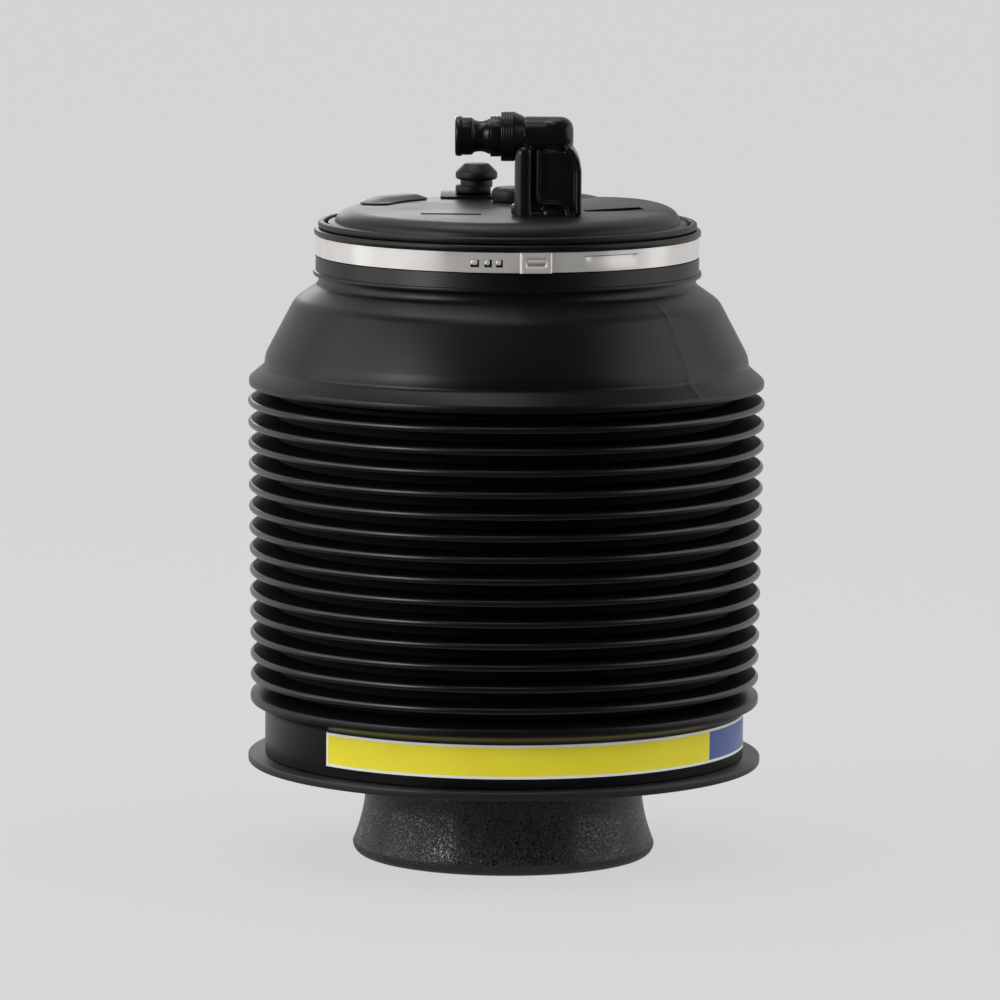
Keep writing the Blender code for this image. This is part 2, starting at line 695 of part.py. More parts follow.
def make_deck_pads(parent):
    """The raised pads along the back of the deck."""
    for number, (start, end) in enumerate(PAD_ANGLES, 1):
        sector_pad(f"deck_pad_{number}", PAD_INNER_RADIUS, PAD_OUTER_RADIUS, DECK + FIT,
                   DECK + FIT + PAD_HEIGHT, start, end, BLACK_PLASTIC, parent)


def make_stud(parent):
    """The plate and the rubber mushroom on it that locates the spring in the car body."""
    x, y = STUD_PLACE
    bottom = DECK + FIT
    top = bottom + STUD_PLATE_THICKNESS
    middle = x + STUD_PLATE_SHIFT
    plate = block("stud_plate",
                  (middle - STUD_PLATE_LENGTH / 2.0, y - STUD_PLATE_DEPTH / 2.0, bottom),
                  (middle + STUD_PLATE_LENGTH / 2.0, y + STUD_PLATE_DEPTH / 2.0, top),
                  STUD_PLATE_THICKNESS / 2.0, axis=2)
    place_object("stud_plate", plate, BLACK_PLASTIC, parent)
    base = FIT + STUD_BASE_HEIGHT
    neck = base + STUD_NECK_HEIGHT
    edge = neck + STUD_HEAD_EDGE
    profile = [
        (0.0, edge + STUD_CROWN_HEIGHT),
        (STUD_CROWN_RADIUS, edge + STUD_CROWN_HEIGHT),
        (STUD_HEAD_RADIUS, edge),
        (STUD_HEAD_RADIUS, neck),
        (STUD_NECK_RADIUS, neck),
        (STUD_NECK_RADIUS, base),
        (STUD_BASE_RADIUS, base),
        (STUD_BASE_RADIUS, FIT),
        (0.0, FIT),
    ]
    turned("locating_stud", profile, SEAL_RUBBER, parent, (x, y, top), SMALL_SIDES)


def make_port_plug(parent):
    """The round plug in the deck behind the elbow fitting, its stem in the cap's hole."""
    step = PLUG_HEIGHT * 0.3
    profile = [
        (0.0, PLUG_HEIGHT + FIT),
        (PLUG_RADIUS - step, PLUG_HEIGHT + FIT),
        (PLUG_RADIUS, PLUG_HEIGHT + FIT - step),
        (PLUG_RADIUS, FIT),
        (PLUG_STEM_RADIUS, FIT),
        (PLUG_STEM_RADIUS, -CAP_PLATE),
        (0.0, -CAP_PLATE),
    ]
    turned("port_plug", profile, SEAL_RUBBER, parent, (*PLUG_PLACE, DECK), SMALL_SIDES)


def post_outline(left, right, bottom):
    """The post seen from the front: a round-topped rib on the left, a slimmer lip on the right."""
    rib = POST_RIB_WIDTH / 2.0
    rib_top = DECK + POST_LEFT_HEIGHT
    lip_top = DECK + POST_RIGHT_HEIGHT
    points = [(left, bottom)]
    for step in range(5):
        angle = math.radians(180.0 - 45.0 * step)
        points.append((left + rib + rib * math.cos(angle), rib_top - rib + rib * math.sin(angle)))
    points.append((left + POST_RIB_WIDTH, lip_top))
    points.append((right - POST_LIP_WIDTH - POST_LIP_RISE, lip_top))
    points.append((right - POST_LIP_WIDTH, lip_top + POST_LIP_RISE))
    points.append((right - POST_LIP_WIDTH / 3.0, lip_top + POST_LIP_RISE / 2.0))
    points.append((right, lip_top))
    points.append((right, bottom))
    return points


def slab(name, outline, front, back, edge):
    """An upright plate's mesh: an outline of X, Z points between two Y values, edges rounded."""
    mesh = bpy.data.meshes.new(name)
    form = bmesh.new()
    corners = [form.verts.new((x * MM, front * MM, z * MM)) for x, z in outline]
    face = form.faces.new(corners)
    swept = bmesh.ops.extrude_face_region(form, geom=[face])
    moved = [item for item in swept["geom"] if isinstance(item, bmesh.types.BMVert)]
    bmesh.ops.translate(form, verts=moved, vec=(0.0, (back - front) * MM, 0.0))
    bmesh.ops.recalc_face_normals(form, faces=form.faces)
    rims = [item for item in form.edges if not runs_along(item, 1)]
    bmesh.ops.bevel(form, geom=rims, offset=edge * MM, segments=2, profile=0.5, affect="EDGES",
                    material=-1)
    form.to_mesh(mesh)
    form.free()
    return mesh


def rounded_barrel(name, bottom, top):
    """The elbow's upright barrel, its top edge rounded."""
    mesh = cylinder(name, ELBOW_RADIUS, bottom, top, SMALL_SIDES)
    form = bmesh.new()
    form.from_mesh(mesh)
    highest = max(vert.co.z for vert in form.verts)
    rim = [item for item in form.edges if min(vert.co.z for vert in item.verts) > highest - WELD]
    bmesh.ops.bevel(form, geom=rim, offset=ELBOW_CORNER * MM, segments=3, profile=0.5,
                    affect="EDGES", material=-1)
    form.to_mesh(mesh)
    form.free()
    return mesh


def make_elbow(parent):
    """The elbow fitting: a ribbed post on the deck, a barrel in it and a tube towards -X."""
    x, y = ELBOW_PLACE
    axis = (x, y, ELBOW_AXIS)
    bottom = DECK + FIT
    right = x + ELBOW_RADIUS + POST_LIP_WIDTH + FIT
    left = right - POST_WIDTH
    front = y - POST_DEPTH / 2.0
    mesh = slab("elbow_fitting", post_outline(left, right, bottom), front, y + POST_DEPTH / 2.0,
                POST_EDGE)
    elbow = place_object("elbow_fitting", mesh, BLACK_PLASTIC, parent)
    panel = block("panel", (left + POST_RIB_WIDTH + POST_EDGE, front - 1.0,
                            bottom + POST_SHELF_HEIGHT),
                  (right - POST_LIP_WIDTH, front + POST_PANEL_DEPTH,
                   DECK + POST_RIGHT_HEIGHT + POST_LIP_RISE))
    combine(elbow, tool("panel", panel), "DIFFERENCE")
    barrel = rounded_barrel("barrel", bottom + FIT, ELBOW_AXIS + ELBOW_RADIUS - FIT / 3.0)
    combine(elbow, tool("barrel", barrel, (x, y, 0.0)), "UNION")
    tube = cylinder("tube", ELBOW_RADIUS, 0.0, NUT_START - FIT, SMALL_SIDES)
    combine(elbow, tool("tube", tube, axis, ALONG_TUBE), "UNION")
    room = cylinder("nut_room", NUT_RADIUS + 1.5 * FIT, NUT_START - FIT / 2.0,
                    NUT_START + NUT_LENGTH + 1.0, SMALL_SIDES)
    combine(elbow, tool("nut_room", room, axis, ALONG_TUBE), "DIFFERENCE")
    nose = cylinder("nose", NOSE_RADIUS, 1.0, NOSE_END, SMALL_SIDES)
    combine(elbow, tool("nose", nose, axis, ALONG_TUBE), "UNION")
    spigot = cylinder("spigot", SPIGOT_RADIUS, DECK - SPIGOT_LENGTH, bottom + 1.0, SMALL_SIDES)
    combine(elbow, tool("spigot", spigot, (x, y, 0.0)), "UNION")
    bore = cylinder("bore", ELBOW_BORE, 0.0, NOSE_END + 1.0, TINY_SIDES)
    combine(elbow, tool("bore", bore, axis, ALONG_TUBE), "DIFFERENCE")
    pocket = cylinder("pocket", NOSE_RADIUS - NOSE_WALL, NOSE_END - 2.0 * NOSE_SEAL_SECTION - 2.0 * FIT,
                      NOSE_END + 2.0, SMALL_SIDES)
    combine(elbow, tool("pocket", pocket, axis, ALONG_TUBE), "DIFFERENCE")
    drop = cylinder("drop", ELBOW_BORE, DECK - SPIGOT_LENGTH - 1.0, ELBOW_AXIS + FIT, TINY_SIDES)
    combine(elbow, tool("drop", drop, (x, y, 0.0), (0.0, 0.0, 0.1)), "DIFFERENCE")
    seal_height = DECK - SEAL_SECTION - FIT / 2.0
    seal_ring("elbow_seal", SPIGOT_RADIUS + SEAL_SECTION + FIT, SEAL_SECTION, SEAL_RUBBER, parent,
              (x, y, seal_height))


def make_connector(parent, collar, cap):
    """The nut on the tube, and inside it the seal, the collar and the plug."""
    place = (*ELBOW_PLACE, ELBOW_AXIS)
    mouth = COLLET_RADIUS + FIT
    profile = [
        (NUT_RADIUS, NUT_END),
        (NUT_RADIUS, NUT_START + NUT_TAPER),
        (ELBOW_RADIUS, NUT_START),
        (NOSE_RADIUS + FIT, NUT_START),
        (NOSE_RADIUS + FIT, COLLET_SEAT - NUT_WEB),
        (ELBOW_BORE, COLLET_SEAT - NUT_WEB),
        (ELBOW_BORE, COLLET_SEAT),
        (mouth, COLLET_SEAT),
        (mouth, NUT_END),
    ]
    turned("connector_nut", profile, BLACK_PLASTIC, parent, place, SMALL_SIDES, ALONG_TUBE)
    seal = (ELBOW_PLACE[0] - NOSE_END + NOSE_SEAL_SECTION + FIT, ELBOW_PLACE[1], ELBOW_AXIS)
    seal_ring("connector_seal", NOSE_RADIUS - NOSE_WALL - FIT - NOSE_SEAL_SECTION,
              NOSE_SEAL_SECTION, SEAL_RUBBER, parent, seal, ALONG_TUBE)
    ring = [
        (COLLET_RADIUS, COLLET_START + COLLET_LENGTH),
        (COLLET_RADIUS, COLLET_START),
        (ELBOW_BORE, COLLET_START),
        (ELBOW_BORE, COLLET_START + COLLET_LENGTH),
    ]
    turned("release_collar", ring, BLACK_PLASTIC, collar, place, SMALL_SIDES, ALONG_TUBE)
    disc_back = COLLET_START + COLLET_LENGTH + FIT
    waist_middle = disc_back + CAP_WAIST_WIDTH * 0.6
    body = disc_back + CAP_WAIST_WIDTH
    disc = body + CAP_BODY_WIDTH
    end = disc + CAP_DISC_WIDTH
    plug = [
        (0.0, end),
        (CAP_DISC_RADIUS, end),
        (CAP_DISC_RADIUS, disc),
        (CAP_BODY_RADIUS, disc),
        (CAP_BODY_RADIUS, body),
        (CAP_WAIST_RADIUS, waist_middle),
        (CAP_BODY_RADIUS, disc_back),
        (CAP_PIN_RADIUS, disc_back),
        (CAP_PIN_RADIUS, disc_back - CAP_PIN_LENGTH),
        (0.0, disc_back - CAP_PIN_LENGTH),
    ]
    turned("transit_plug", plug, BLACK_PLASTIC, cap, place, SMALL_SIDES, ALONG_TUBE)


def make_sleeve(parent):
    """The rolling-lobe air sleeve, from the cap's collar down, round the lobe, up to the piston."""
    half = SLEEVE_WALL / 2.0
    top = COLLAR_RADIUS + FIT + half
    leg = PISTON_RADIUS + FIT + half
    neck = PISTON_NECK_RADIUS + FIT + half
    lobe = (SLEEVE_RADIUS - leg) / 2.0
    shoulder = PISTON_HEIGHT - PISTON_NECK_HEIGHT
    points = [
        (top, CAP_BODY_BOTTOM - FIT),
        (top, COLLAR_BOTTOM),
        (SLEEVE_RADIUS, COLLAR_BOTTOM - 2.0 * half),
    ]
    for step in range(5):
        angle = math.radians(45.0 * step)
        points.append((leg + lobe + lobe * math.cos(angle),
                       SLEEVE_LOBE_BOTTOM + half + lobe * (1.0 - math.sin(angle))))
    points.append((leg, shoulder - PISTON_SHOULDER + half))
    points.append((neck, shoulder + half))
    points.append((neck, PISTON_HEIGHT - 2.0 * FIT))
    outer = offset_path(points, half)
    inner = offset_path(points, -half)
    turned("air_sleeve", outer + inner[::-1], SLEEVE_RUBBER, parent)


def offset_path(points, distance):
    """The path shifted to its left by a distance, with mitred corners."""
    shifted = []
    for index, point in enumerate(points):
        here = Vector(point)
        before = Vector(points[max(index - 1, 0)])
        after = Vector(points[min(index + 1, len(points) - 1)])
        sides = [(here - before), (after - here)]
        normals = [Vector((-run.y, run.x)).normalized() for run in sides if run.length > 0.0]
        middle = sum(normals, Vector((0.0, 0.0))).normalized()
        reach = distance / max(middle.dot(normals[0]), 0.5)
        shifted.append(tuple(here + middle * reach))
    return shifted


def make_crimp_rings(upper, lower):
    """The two rings that crimp the sleeve's ends onto the cap and onto the piston."""
    bore = COLLAR_RADIUS + SLEEVE_WALL + 2.0 * FIT
    bottom = COLLAR_BOTTOM + (COLLAR_LENGTH - CRIMP_HEIGHT) / 2.0
    top = bottom + CRIMP_HEIGHT
    rim = bore + CRIMP_WALL
    turned("upper_crimp_ring", [(rim, top), (rim, bottom), (bore, bottom), (bore, top)], STEEL, upper)
    bore = PISTON_NECK_RADIUS + SLEEVE_WALL + 2.0 * FIT
    bottom = PISTON_HEIGHT - LOWER_CRIMP_HEIGHT - 4.0 * FIT
    top = bottom + LOWER_CRIMP_HEIGHT
    rim = bore + CRIMP_WALL
    turned("lower_crimp_ring", [(rim, top), (rim, bottom), (bore, bottom), (bore, top)], STEEL, lower)


def make_bump_stop(parent):
    """The foam buffer that hangs under the cap in its cup, held by a bolt."""
    cup = [
        (BUMP_CUP_RADIUS, DECK_UNDERSIDE - FIT),
        (BUMP_CUP_RADIUS, CUP_BOTTOM),
        (BUMP_BOLT_RADIUS + FIT, CUP_BOTTOM),
        (BUMP_BOLT_RADIUS + FIT, DECK_UNDERSIDE - FIT),
    ]
    turned("bump_stop_cup", cup, STEEL, parent, sides=SMALL_SIDES)
    height = BUMP_TOP - BUMP_BOTTOM
    pocket = BUMP_HEAD_HEIGHT + 2.0 * FIT
    bore = BUMP_BOLT_RADIUS + FIT
    head_bore = BUMP_HEAD_RADIUS + FIT
    foam = [
        (BUMP_RADIUS, BUMP_TOP),
        (BUMP_RADIUS, BUMP_TOP - height * 0.4),
        (BUMP_WAIST, BUMP_TOP - height * 0.5),
        (BUMP_RADIUS, BUMP_TOP - height * 0.6),
        (BUMP_WAIST, BUMP_BOTTOM),
        (head_bore, BUMP_BOTTOM),
        (head_bore, BUMP_BOTTOM + pocket),
        (bore, BUMP_BOTTOM + pocket),
        (bore, BUMP_TOP),
    ]
    turned("bump_stop", foam, FOAM, parent, sides=SMALL_SIDES)
    head_top = BUMP_BOTTOM + pocket - FIT
    bolt = [
        (0.0, DECK_UNDERSIDE - FIT),
        (BUMP_BOLT_RADIUS, DECK_UNDERSIDE - FIT),
        (BUMP_BOLT_RADIUS, head_top),
        (BUMP_HEAD_RADIUS, head_top),
        (BUMP_HEAD_RADIUS, head_top - BUMP_HEAD_HEIGHT),
        (0.0, head_top - BUMP_HEAD_HEIGHT),
    ]
    turned("bump_stop_bolt", bolt, STEEL, parent, sides=TINY_SIDES)


def make_spring():
    """Model the whole spring, assembly by assembly."""
    lower = empty("lower_assembly")
    upper = empty("upper_assembly")
    connector = (*ELBOW_PLACE, ELBOW_AXIS)
    collar = empty("collar_axis", connector)
    cap = empty("transit_plug_axis", connector)
    make_piston(lower)
    make_boot_carrier(lower)
    make_boot_cuff(lower)
    make_bellows(upper)
    make_boot_shoulder(upper)
    make_clamp_band(upper)
    make_support_ring(upper)
    make_cap(upper)
    make_deck_pads(upper)
    make_stud(upper)
    make_port_plug(upper)
    make_elbow(upper)
    make_connector(upper, collar, cap)
    make_sleeve(upper)
    make_crimp_rings(upper, lower)
    make_bump_stop(upper)


for old in list(bpy.data.objects):
    bpy.data.objects.remove(old)

SPRING = bpy.data.collections.new("air_suspension_spring")
TOOLS = bpy.data.collections.new("spring_tools")
bpy.context.scene.collection.children.link(SPRING)
bpy.context.scene.collection.children.link(TOOLS)

ALONG_TUBE = (0.0, -math.pi / 2.0, 0.0)
SLOT_PLACES = ((-20.7, -20.6, 0.0), (38.0, -2.0, 17.0))

BLACK_PLASTIC = material("black_plastic", (0.03, 0.03, 0.032), 0.45)
PISTON_PLASTIC = material("piston_plastic", (0.025, 0.025, 0.027), 0.6)
BOOT_RUBBER = material("boot_rubber", (0.02, 0.02, 0.021), 0.42)
SEAL_RUBBER = material("seal_rubber", (0.015, 0.015, 0.016), 0.55)
SLEEVE_RUBBER = material("sleeve_rubber", (0.018, 0.018, 0.018), 0.7)
FOAM = material("foam", (0.75, 0.68, 0.5), 0.85)
STEEL = material("steel", (0.72, 0.7, 0.67), 0.3, 1.0)
LABEL_YELLOW = material("label_yellow", (0.9, 0.8, 0.05), 0.4)

make_spring()
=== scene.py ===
"""Air suspension spring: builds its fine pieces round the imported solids, and a studio for them.

Sizes that a user would change are properties in metres. Profiles in the code are in millimetres:
each point is (radius, height, corner), and the corner is how far its rounding reaches.
Angles round the spring are in degrees from the front, -Y, and grow towards +X.
"""

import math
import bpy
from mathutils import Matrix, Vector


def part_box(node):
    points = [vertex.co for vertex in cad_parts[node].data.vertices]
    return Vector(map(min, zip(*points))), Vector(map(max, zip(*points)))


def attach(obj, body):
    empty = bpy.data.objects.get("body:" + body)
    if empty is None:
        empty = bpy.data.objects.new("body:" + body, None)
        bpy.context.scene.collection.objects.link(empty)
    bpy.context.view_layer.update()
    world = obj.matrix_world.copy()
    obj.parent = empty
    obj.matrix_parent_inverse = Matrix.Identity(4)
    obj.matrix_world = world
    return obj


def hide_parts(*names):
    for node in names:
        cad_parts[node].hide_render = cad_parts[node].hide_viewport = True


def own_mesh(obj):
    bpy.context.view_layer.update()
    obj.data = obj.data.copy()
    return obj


bl_info = {
    "name": "Air Suspension Spring",
    "version": (1, 0, 0),
    "blender": (4, 5, 0),
    "location": "3D View > Sidebar > Air Spring",
    "description": "Builds the boot, clamp, cap, fittings and studio of an air suspension spring",
    "category": "Object",
}

import bmesh
import bpy
from bpy.props import FloatProperty, FloatVectorProperty, IntProperty, PointerProperty
from mathutils import Matrix, Vector

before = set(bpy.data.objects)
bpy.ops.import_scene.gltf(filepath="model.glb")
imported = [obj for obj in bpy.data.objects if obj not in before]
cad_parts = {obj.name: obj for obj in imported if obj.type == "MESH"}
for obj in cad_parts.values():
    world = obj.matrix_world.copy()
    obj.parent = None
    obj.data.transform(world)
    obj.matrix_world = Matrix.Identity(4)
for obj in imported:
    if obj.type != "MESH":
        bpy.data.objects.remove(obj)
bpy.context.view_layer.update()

MM = 0.001
WELD = 1e-6
ROUND_STEPS = 144
SMALL_STEPS = 72
LOWER = "lower_half"
UPPER = "upper_half"
UP = Vector((0.0, 0.0, 1.0))


# Places taken from the solids


def low(node):
    """The lowest corner of a solid in millimetres."""
    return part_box(node)[0] / MM


def high(node):
    """The highest corner of a solid in millimetres."""
    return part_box(node)[1] / MM


def middle(node):
    """The middle of a solid's box in millimetres."""
    return (low(node) + high(node)) / 2.0


# Mesh tools


def corner_steps(reach):
    """How many faces round a corner: more for a larger one."""
    if reach < 0.7:
        return 2
    return 4 if reach < 2.5 else 7


def turned(profile, steps=ROUND_STEPS):
    """A closed mesh turned about Z from (radius, height, corner) points."""
    form = bmesh.new()
    points = [form.verts.new((point[0] * MM, 0.0, point[1] * MM)) for point in profile]
    pairs = list(zip(points, points[1:]))
    if min(point[0] for point in profile) > 0.0:
        pairs.append((points[-1], points[0]))
    for pair in pairs:
        form.edges.new(pair)
    corners = {}
    for vert, point in zip(points, profile):
        if len(point) > 2:
            corners.setdefault(point[2], []).append(vert)
    for reach, verts in corners.items():
        bmesh.ops.bevel(form, geom=verts, offset=reach * MM, affect="VERTICES",
                        segments=corner_steps(reach), profile=0.5, material=-1)
    bmesh.ops.spin(form, geom=form.verts[:] + form.edges[:], cent=(0.0, 0.0, 0.0), axis=UP,
                   dvec=(0.0, 0.0, 0.0), angle=math.tau, steps=steps, use_merge=True)
    return tidied(form)


def tidied(form):
    """Merge doubles, drop empty faces and turn every face outwards."""
    bmesh.ops.remove_doubles(form, verts=form.verts, dist=WELD)
    bmesh.ops.dissolve_degenerate(form, edges=form.edges, dist=WELD / 10.0)
    bmesh.ops.recalc_face_normals(form, faces=form.faces)
    return form


def rounded_box(corner_low, corner_high, reach, steps=4):
    """A box between two corners, with all of its edges rounded."""
    form = bmesh.new()
    bmesh.ops.create_cube(form, size=MM)
    size = Vector(corner_high) - Vector(corner_low)
    bmesh.ops.scale(form, verts=form.verts, vec=size)
    bmesh.ops.bevel(form, geom=form.edges[:], offset=reach * MM, affect="EDGES", segments=steps,
                    profile=0.5, material=-1)
    centre = (Vector(corner_low) + Vector(corner_high)) / 2.0
    bmesh.ops.translate(form, verts=form.verts, vec=centre * MM)
    return form


def moved(form, place=(0.0, 0.0, 0.0), turn=None):
    """Turn a mesh and then move it, in millimetres."""
    matrix = Matrix.Translation(Vector(place) * MM)
    if turn:
        matrix = matrix @ turn
    bmesh.ops.transform(form, matrix=matrix, verts=form.verts)
    return form


def round_axis(degrees):
    """A turn about the spring's axis, from the front towards +X."""
    return Matrix.Rotation(math.radians(degrees), 4, "Z")


def joined(*forms):
    """Several meshes as one."""
    whole = bmesh.new()
    for form in forms:
        part = bpy.data.meshes.new("part")
        form.to_mesh(part)
        form.free()
        whole.from_mesh(part)
        bpy.data.meshes.remove(part)
    return whole


def add_piece(name, form, finish, body, slot, *nodes):
    """Put a mesh into the scene as a smooth piece that rides on a body and stands for nodes."""
    mesh = bpy.data.meshes.new(name)
    form.to_mesh(mesh)
    form.free()
    mesh.shade_smooth()
    mesh.set_sharp_from_angle(angle=math.radians(40.0))
    mesh.materials.append(finish)
    piece = bpy.data.objects.new(name, mesh)
    bpy.context.scene.collection.objects.link(piece)
    if nodes:
        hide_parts(*nodes)
    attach(piece, body)
    return piece


def cut_or_join(piece, form, operation):
    """Change a piece by another mesh with a Boolean, and keep the result."""
    mesh = bpy.data.meshes.new("tool")
    form.to_mesh(mesh)
    form.free()
    other = bpy.data.objects.new("tool", mesh)
    bpy.context.scene.collection.objects.link(other)
    change = piece.modifiers.new("change", "BOOLEAN")
    change.operation = operation
    change.object = other
    apply_modifiers(piece)
    bpy.data.objects.remove(other)
    bpy.data.meshes.remove(mesh)


def apply_modifiers(piece):
    """Replace a piece's mesh by the one that its modifiers make."""
    bpy.context.view_layer.update()
    shown = piece.evaluated_get(bpy.context.evaluated_depsgraph_get())
    mesh = bpy.data.meshes.new_from_object(shown)
    piece.modifiers.clear()
    old = piece.data
    piece.data = mesh
    bpy.data.meshes.remove(old)
    mesh.name = piece.name
    mesh.shade_smooth()
    mesh.set_sharp_from_angle(angle=math.radians(40.0))


def bent_sheet(radius, bottom, top, start, end, columns, rows):
    """An open sheet of small squares bent round the axis, with a UV map along and up it."""
    form = bmesh.new()
    layer = form.loops.layers.uv.new("strip")
    bmesh.ops.create_grid(form, x_segments=columns, y_segments=rows, size=0.5, calc_uvs=True)
    for face in form.faces:
        for loop in face.loops:
            loop[layer].uv = (loop.vert.co.x + 0.5, loop.vert.co.y + 0.5)
    for vert in form.verts:
        angle = math.radians(start + (vert.co.x + 0.5) * (end - start))
        height = bottom + (vert.co.y + 0.5) * (top - bottom)
        vert.co = Vector((math.sin(angle) * radius, -math.cos(angle) * radius, height)) * MM
    bmesh.ops.recalc_face_normals(form, faces=form.faces)
    first = form.faces[:][0]
    outwards = first.calc_center_median() * Vector((1.0, 1.0, 0.0))
    if first.normal.dot(outwards) < 0.0:
        bmesh.ops.reverse_faces(form, faces=form.faces)
    return form


def thicken(form, thickness):
    """Give an open sheet a wall that grows outwards, in millimetres."""
    bmesh.ops.solidify(form, geom=form.faces[:], thickness=-thickness * MM)
    bmesh.ops.recalc_face_normals(form, faces=form.faces)
    return form


# Sizes and colours


class BootSizes(bpy.types.PropertyGroup):
    """The rubber boot."""
    rib_rim: FloatProperty(
        name="Rib Rim", description="Height of a rib's outer face", default=2.4 * MM,
        unit="LENGTH")
    rib_root: FloatProperty(
        name="Rib Root", description="Height of a rib where it leaves the valley",
        default=5.0 * MM, unit="LENGTH")
    rib_depth: FloatProperty(
        name="Rib Depth", description="How far the ribs stand out from the valleys",
        default=10.5 * MM, unit="LENGTH")
    rib_count: IntProperty(name="Ribs", description="Ribs between skirt and cuff", default=14)
    taper: FloatProperty(
        name="Taper", description="How much narrower the lowest rib is than the top one",
        default=1.3 * MM, unit="LENGTH")
    wall: FloatProperty(
        name="Wall", description="Thickness of the boot", default=1.7 * MM, unit="LENGTH")


class ClampSizes(bpy.types.PropertyGroup):
    """The steel clamp on the boot's neck."""
    strip: FloatProperty(
        name="Strip", description="Thickness of the steel strip", default=0.6 * MM,
        unit="LENGTH")
    ear_angle: FloatProperty(
        name="Ear Place", description="Where the ear sits round the neck",
        default=math.radians(8.2), subtype="ANGLE")
    ear_width: FloatProperty(
        name="Ear Width", description="Width of the closed ear", default=10.9 * MM,
        unit="LENGTH")
    ear_height: FloatProperty(
        name="Ear Height", description="Height of the ear along the spring", default=7.2 * MM,
        unit="LENGTH")


class FootSizes(bpy.types.PropertyGroup):
    """The piston's foot."""
    flare: FloatProperty(
        name="Flare Height", description="Height over which the foot widens",
        default=19.0 * MM, unit="LENGTH")
    edge: FloatProperty(
        name="Edge", description="Rounding of the foot's lower edge", default=4.3 * MM,
        unit="LENGTH")
    spread: FloatProperty(
        name="Spread", description="How far the foot widens", default=4.5 * MM, unit="LENGTH")


class FinishColours(bpy.types.PropertyGroup):
    """The colours of the finishes."""
    rubber: FloatVectorProperty(
        name="Boot Rubber", description="Colour of the boot", subtype="COLOR",
        default=(0.0024, 0.0024, 0.0026))
    plastic: FloatVectorProperty(
        name="Black Plastic", description="Colour of the cap and the fittings",
        subtype="COLOR", default=(0.003, 0.003, 0.0031))
    flange: FloatVectorProperty(
        name="Flange Plastic", description="Colour of the flange under the boot",
        subtype="COLOR", default=(0.013, 0.013, 0.0134))
    foot: FloatVectorProperty(
        name="Foot Plastic", description="Colour of the grained piston foot",
        subtype="COLOR", default=(0.004, 0.004, 0.0042))
    steel: FloatVectorProperty(
        name="Steel", description="Colour of the clamp", subtype="COLOR",
        default=(0.86, 0.83, 0.8))
    label: FloatVectorProperty(
        name="Label", description="Colour of the label's field", subtype="COLOR",
        default=(0.87, 0.76, 0.03))
    label_end: FloatVectorProperty(
        name="Label End", description="Colour of the label's end panel", subtype="COLOR",
        default=(0.07, 0.115, 0.34))
    foam: FloatVectorProperty(
        name="Buffer", description="Colour of the buffer", subtype="COLOR",
        default=(0.72, 0.63, 0.42))


class StudioSettings(bpy.types.PropertyGroup):
    """The floor, lights and camera."""
    backdrop: FloatVectorProperty(
        name="Backdrop", description="Colour of the pale floor and background",
        subtype="COLOR", default=(0.651, 0.651, 0.651))
    distance: FloatProperty(
        name="Camera Distance", description="From the camera to the spring's axis",
        default=2.86, unit="LENGTH")
    height: FloatProperty(
        name="Camera Height", description="Camera height above the floor", default=0.4952,
        unit="LENGTH")
    pitch: FloatProperty(
        name="Pitch", description="How far the camera looks down",
        default=math.radians(7.25), subtype="ANGLE")
    roll: FloatProperty(
        name="Roll", description="How far the camera is tilted sideways",
        default=math.radians(0.4), subtype="ANGLE")
    lens: FloatProperty(
        name="Lens", description="Focal length in millimetres on a 36 mm wide sensor",
        default=281.7)


# Node tools


def node(tree, kind, **values):
    """Add a node and set its properties, or its input sockets by name."""
    made = tree.nodes.new(kind)
    for key, value in values.items():
        if key in made.inputs:
            made.inputs[key].default_value = value
        elif key.replace("_", " ") in made.inputs:
            made.inputs[key.replace("_", " ")].default_value = value
        else:
            setattr(made, key, value)
    return made


def wire(tree, source, target):
    """Link an output socket to an input socket."""
    tree.links.new(source, target)


def math_node(tree, operation, first, second=None, clamp=False):
    """A Math node whose inputs are sockets or numbers."""
    made = tree.nodes.new("ShaderNodeMath")
    made.operation = operation
    made.use_clamp = clamp
    for socket, value in zip(made.inputs, (first, second)):
        if value is None:
            continue
        if isinstance(value, (int, float)):
            socket.default_value = value
        else:
            wire(tree, value, socket)
    return made.outputs[0]


def ranged(tree, value, from_low, from_high, to_low, to_high):
    """A Map Range node's result."""
    made = node(tree, "ShaderNodeMapRange")
    made.inputs["From Min"].default_value = from_low
    made.inputs["From Max"].default_value = from_high
    for key, bound in (("To Min", to_low), ("To Max", to_high)):
        if isinstance(bound, (int, float)):
            made.inputs[key].default_value = bound
        else:
            wire(tree, bound, made.inputs[key])
    wire(tree, value, made.inputs["Value"])
    return made.outputs["Result"]


def group(name, inputs, outputs):
    """A new shader node group with float or colour sockets, and its two end nodes."""
    tree = bpy.data.node_groups.new(name, "ShaderNodeTree")
    for label, value in inputs:
        kind = "NodeSocketColor" if isinstance(value, tuple) else "NodeSocketFloat"
        socket = tree.interface.new_socket(name=label, in_out="INPUT", socket_type=kind)
        socket.default_value = value
    for label, kind in outputs:
        tree.interface.new_socket(name=label, in_out="OUTPUT", socket_type=kind)
    return tree, tree.nodes.new("NodeGroupInput"), tree.nodes.new("NodeGroupOutput")


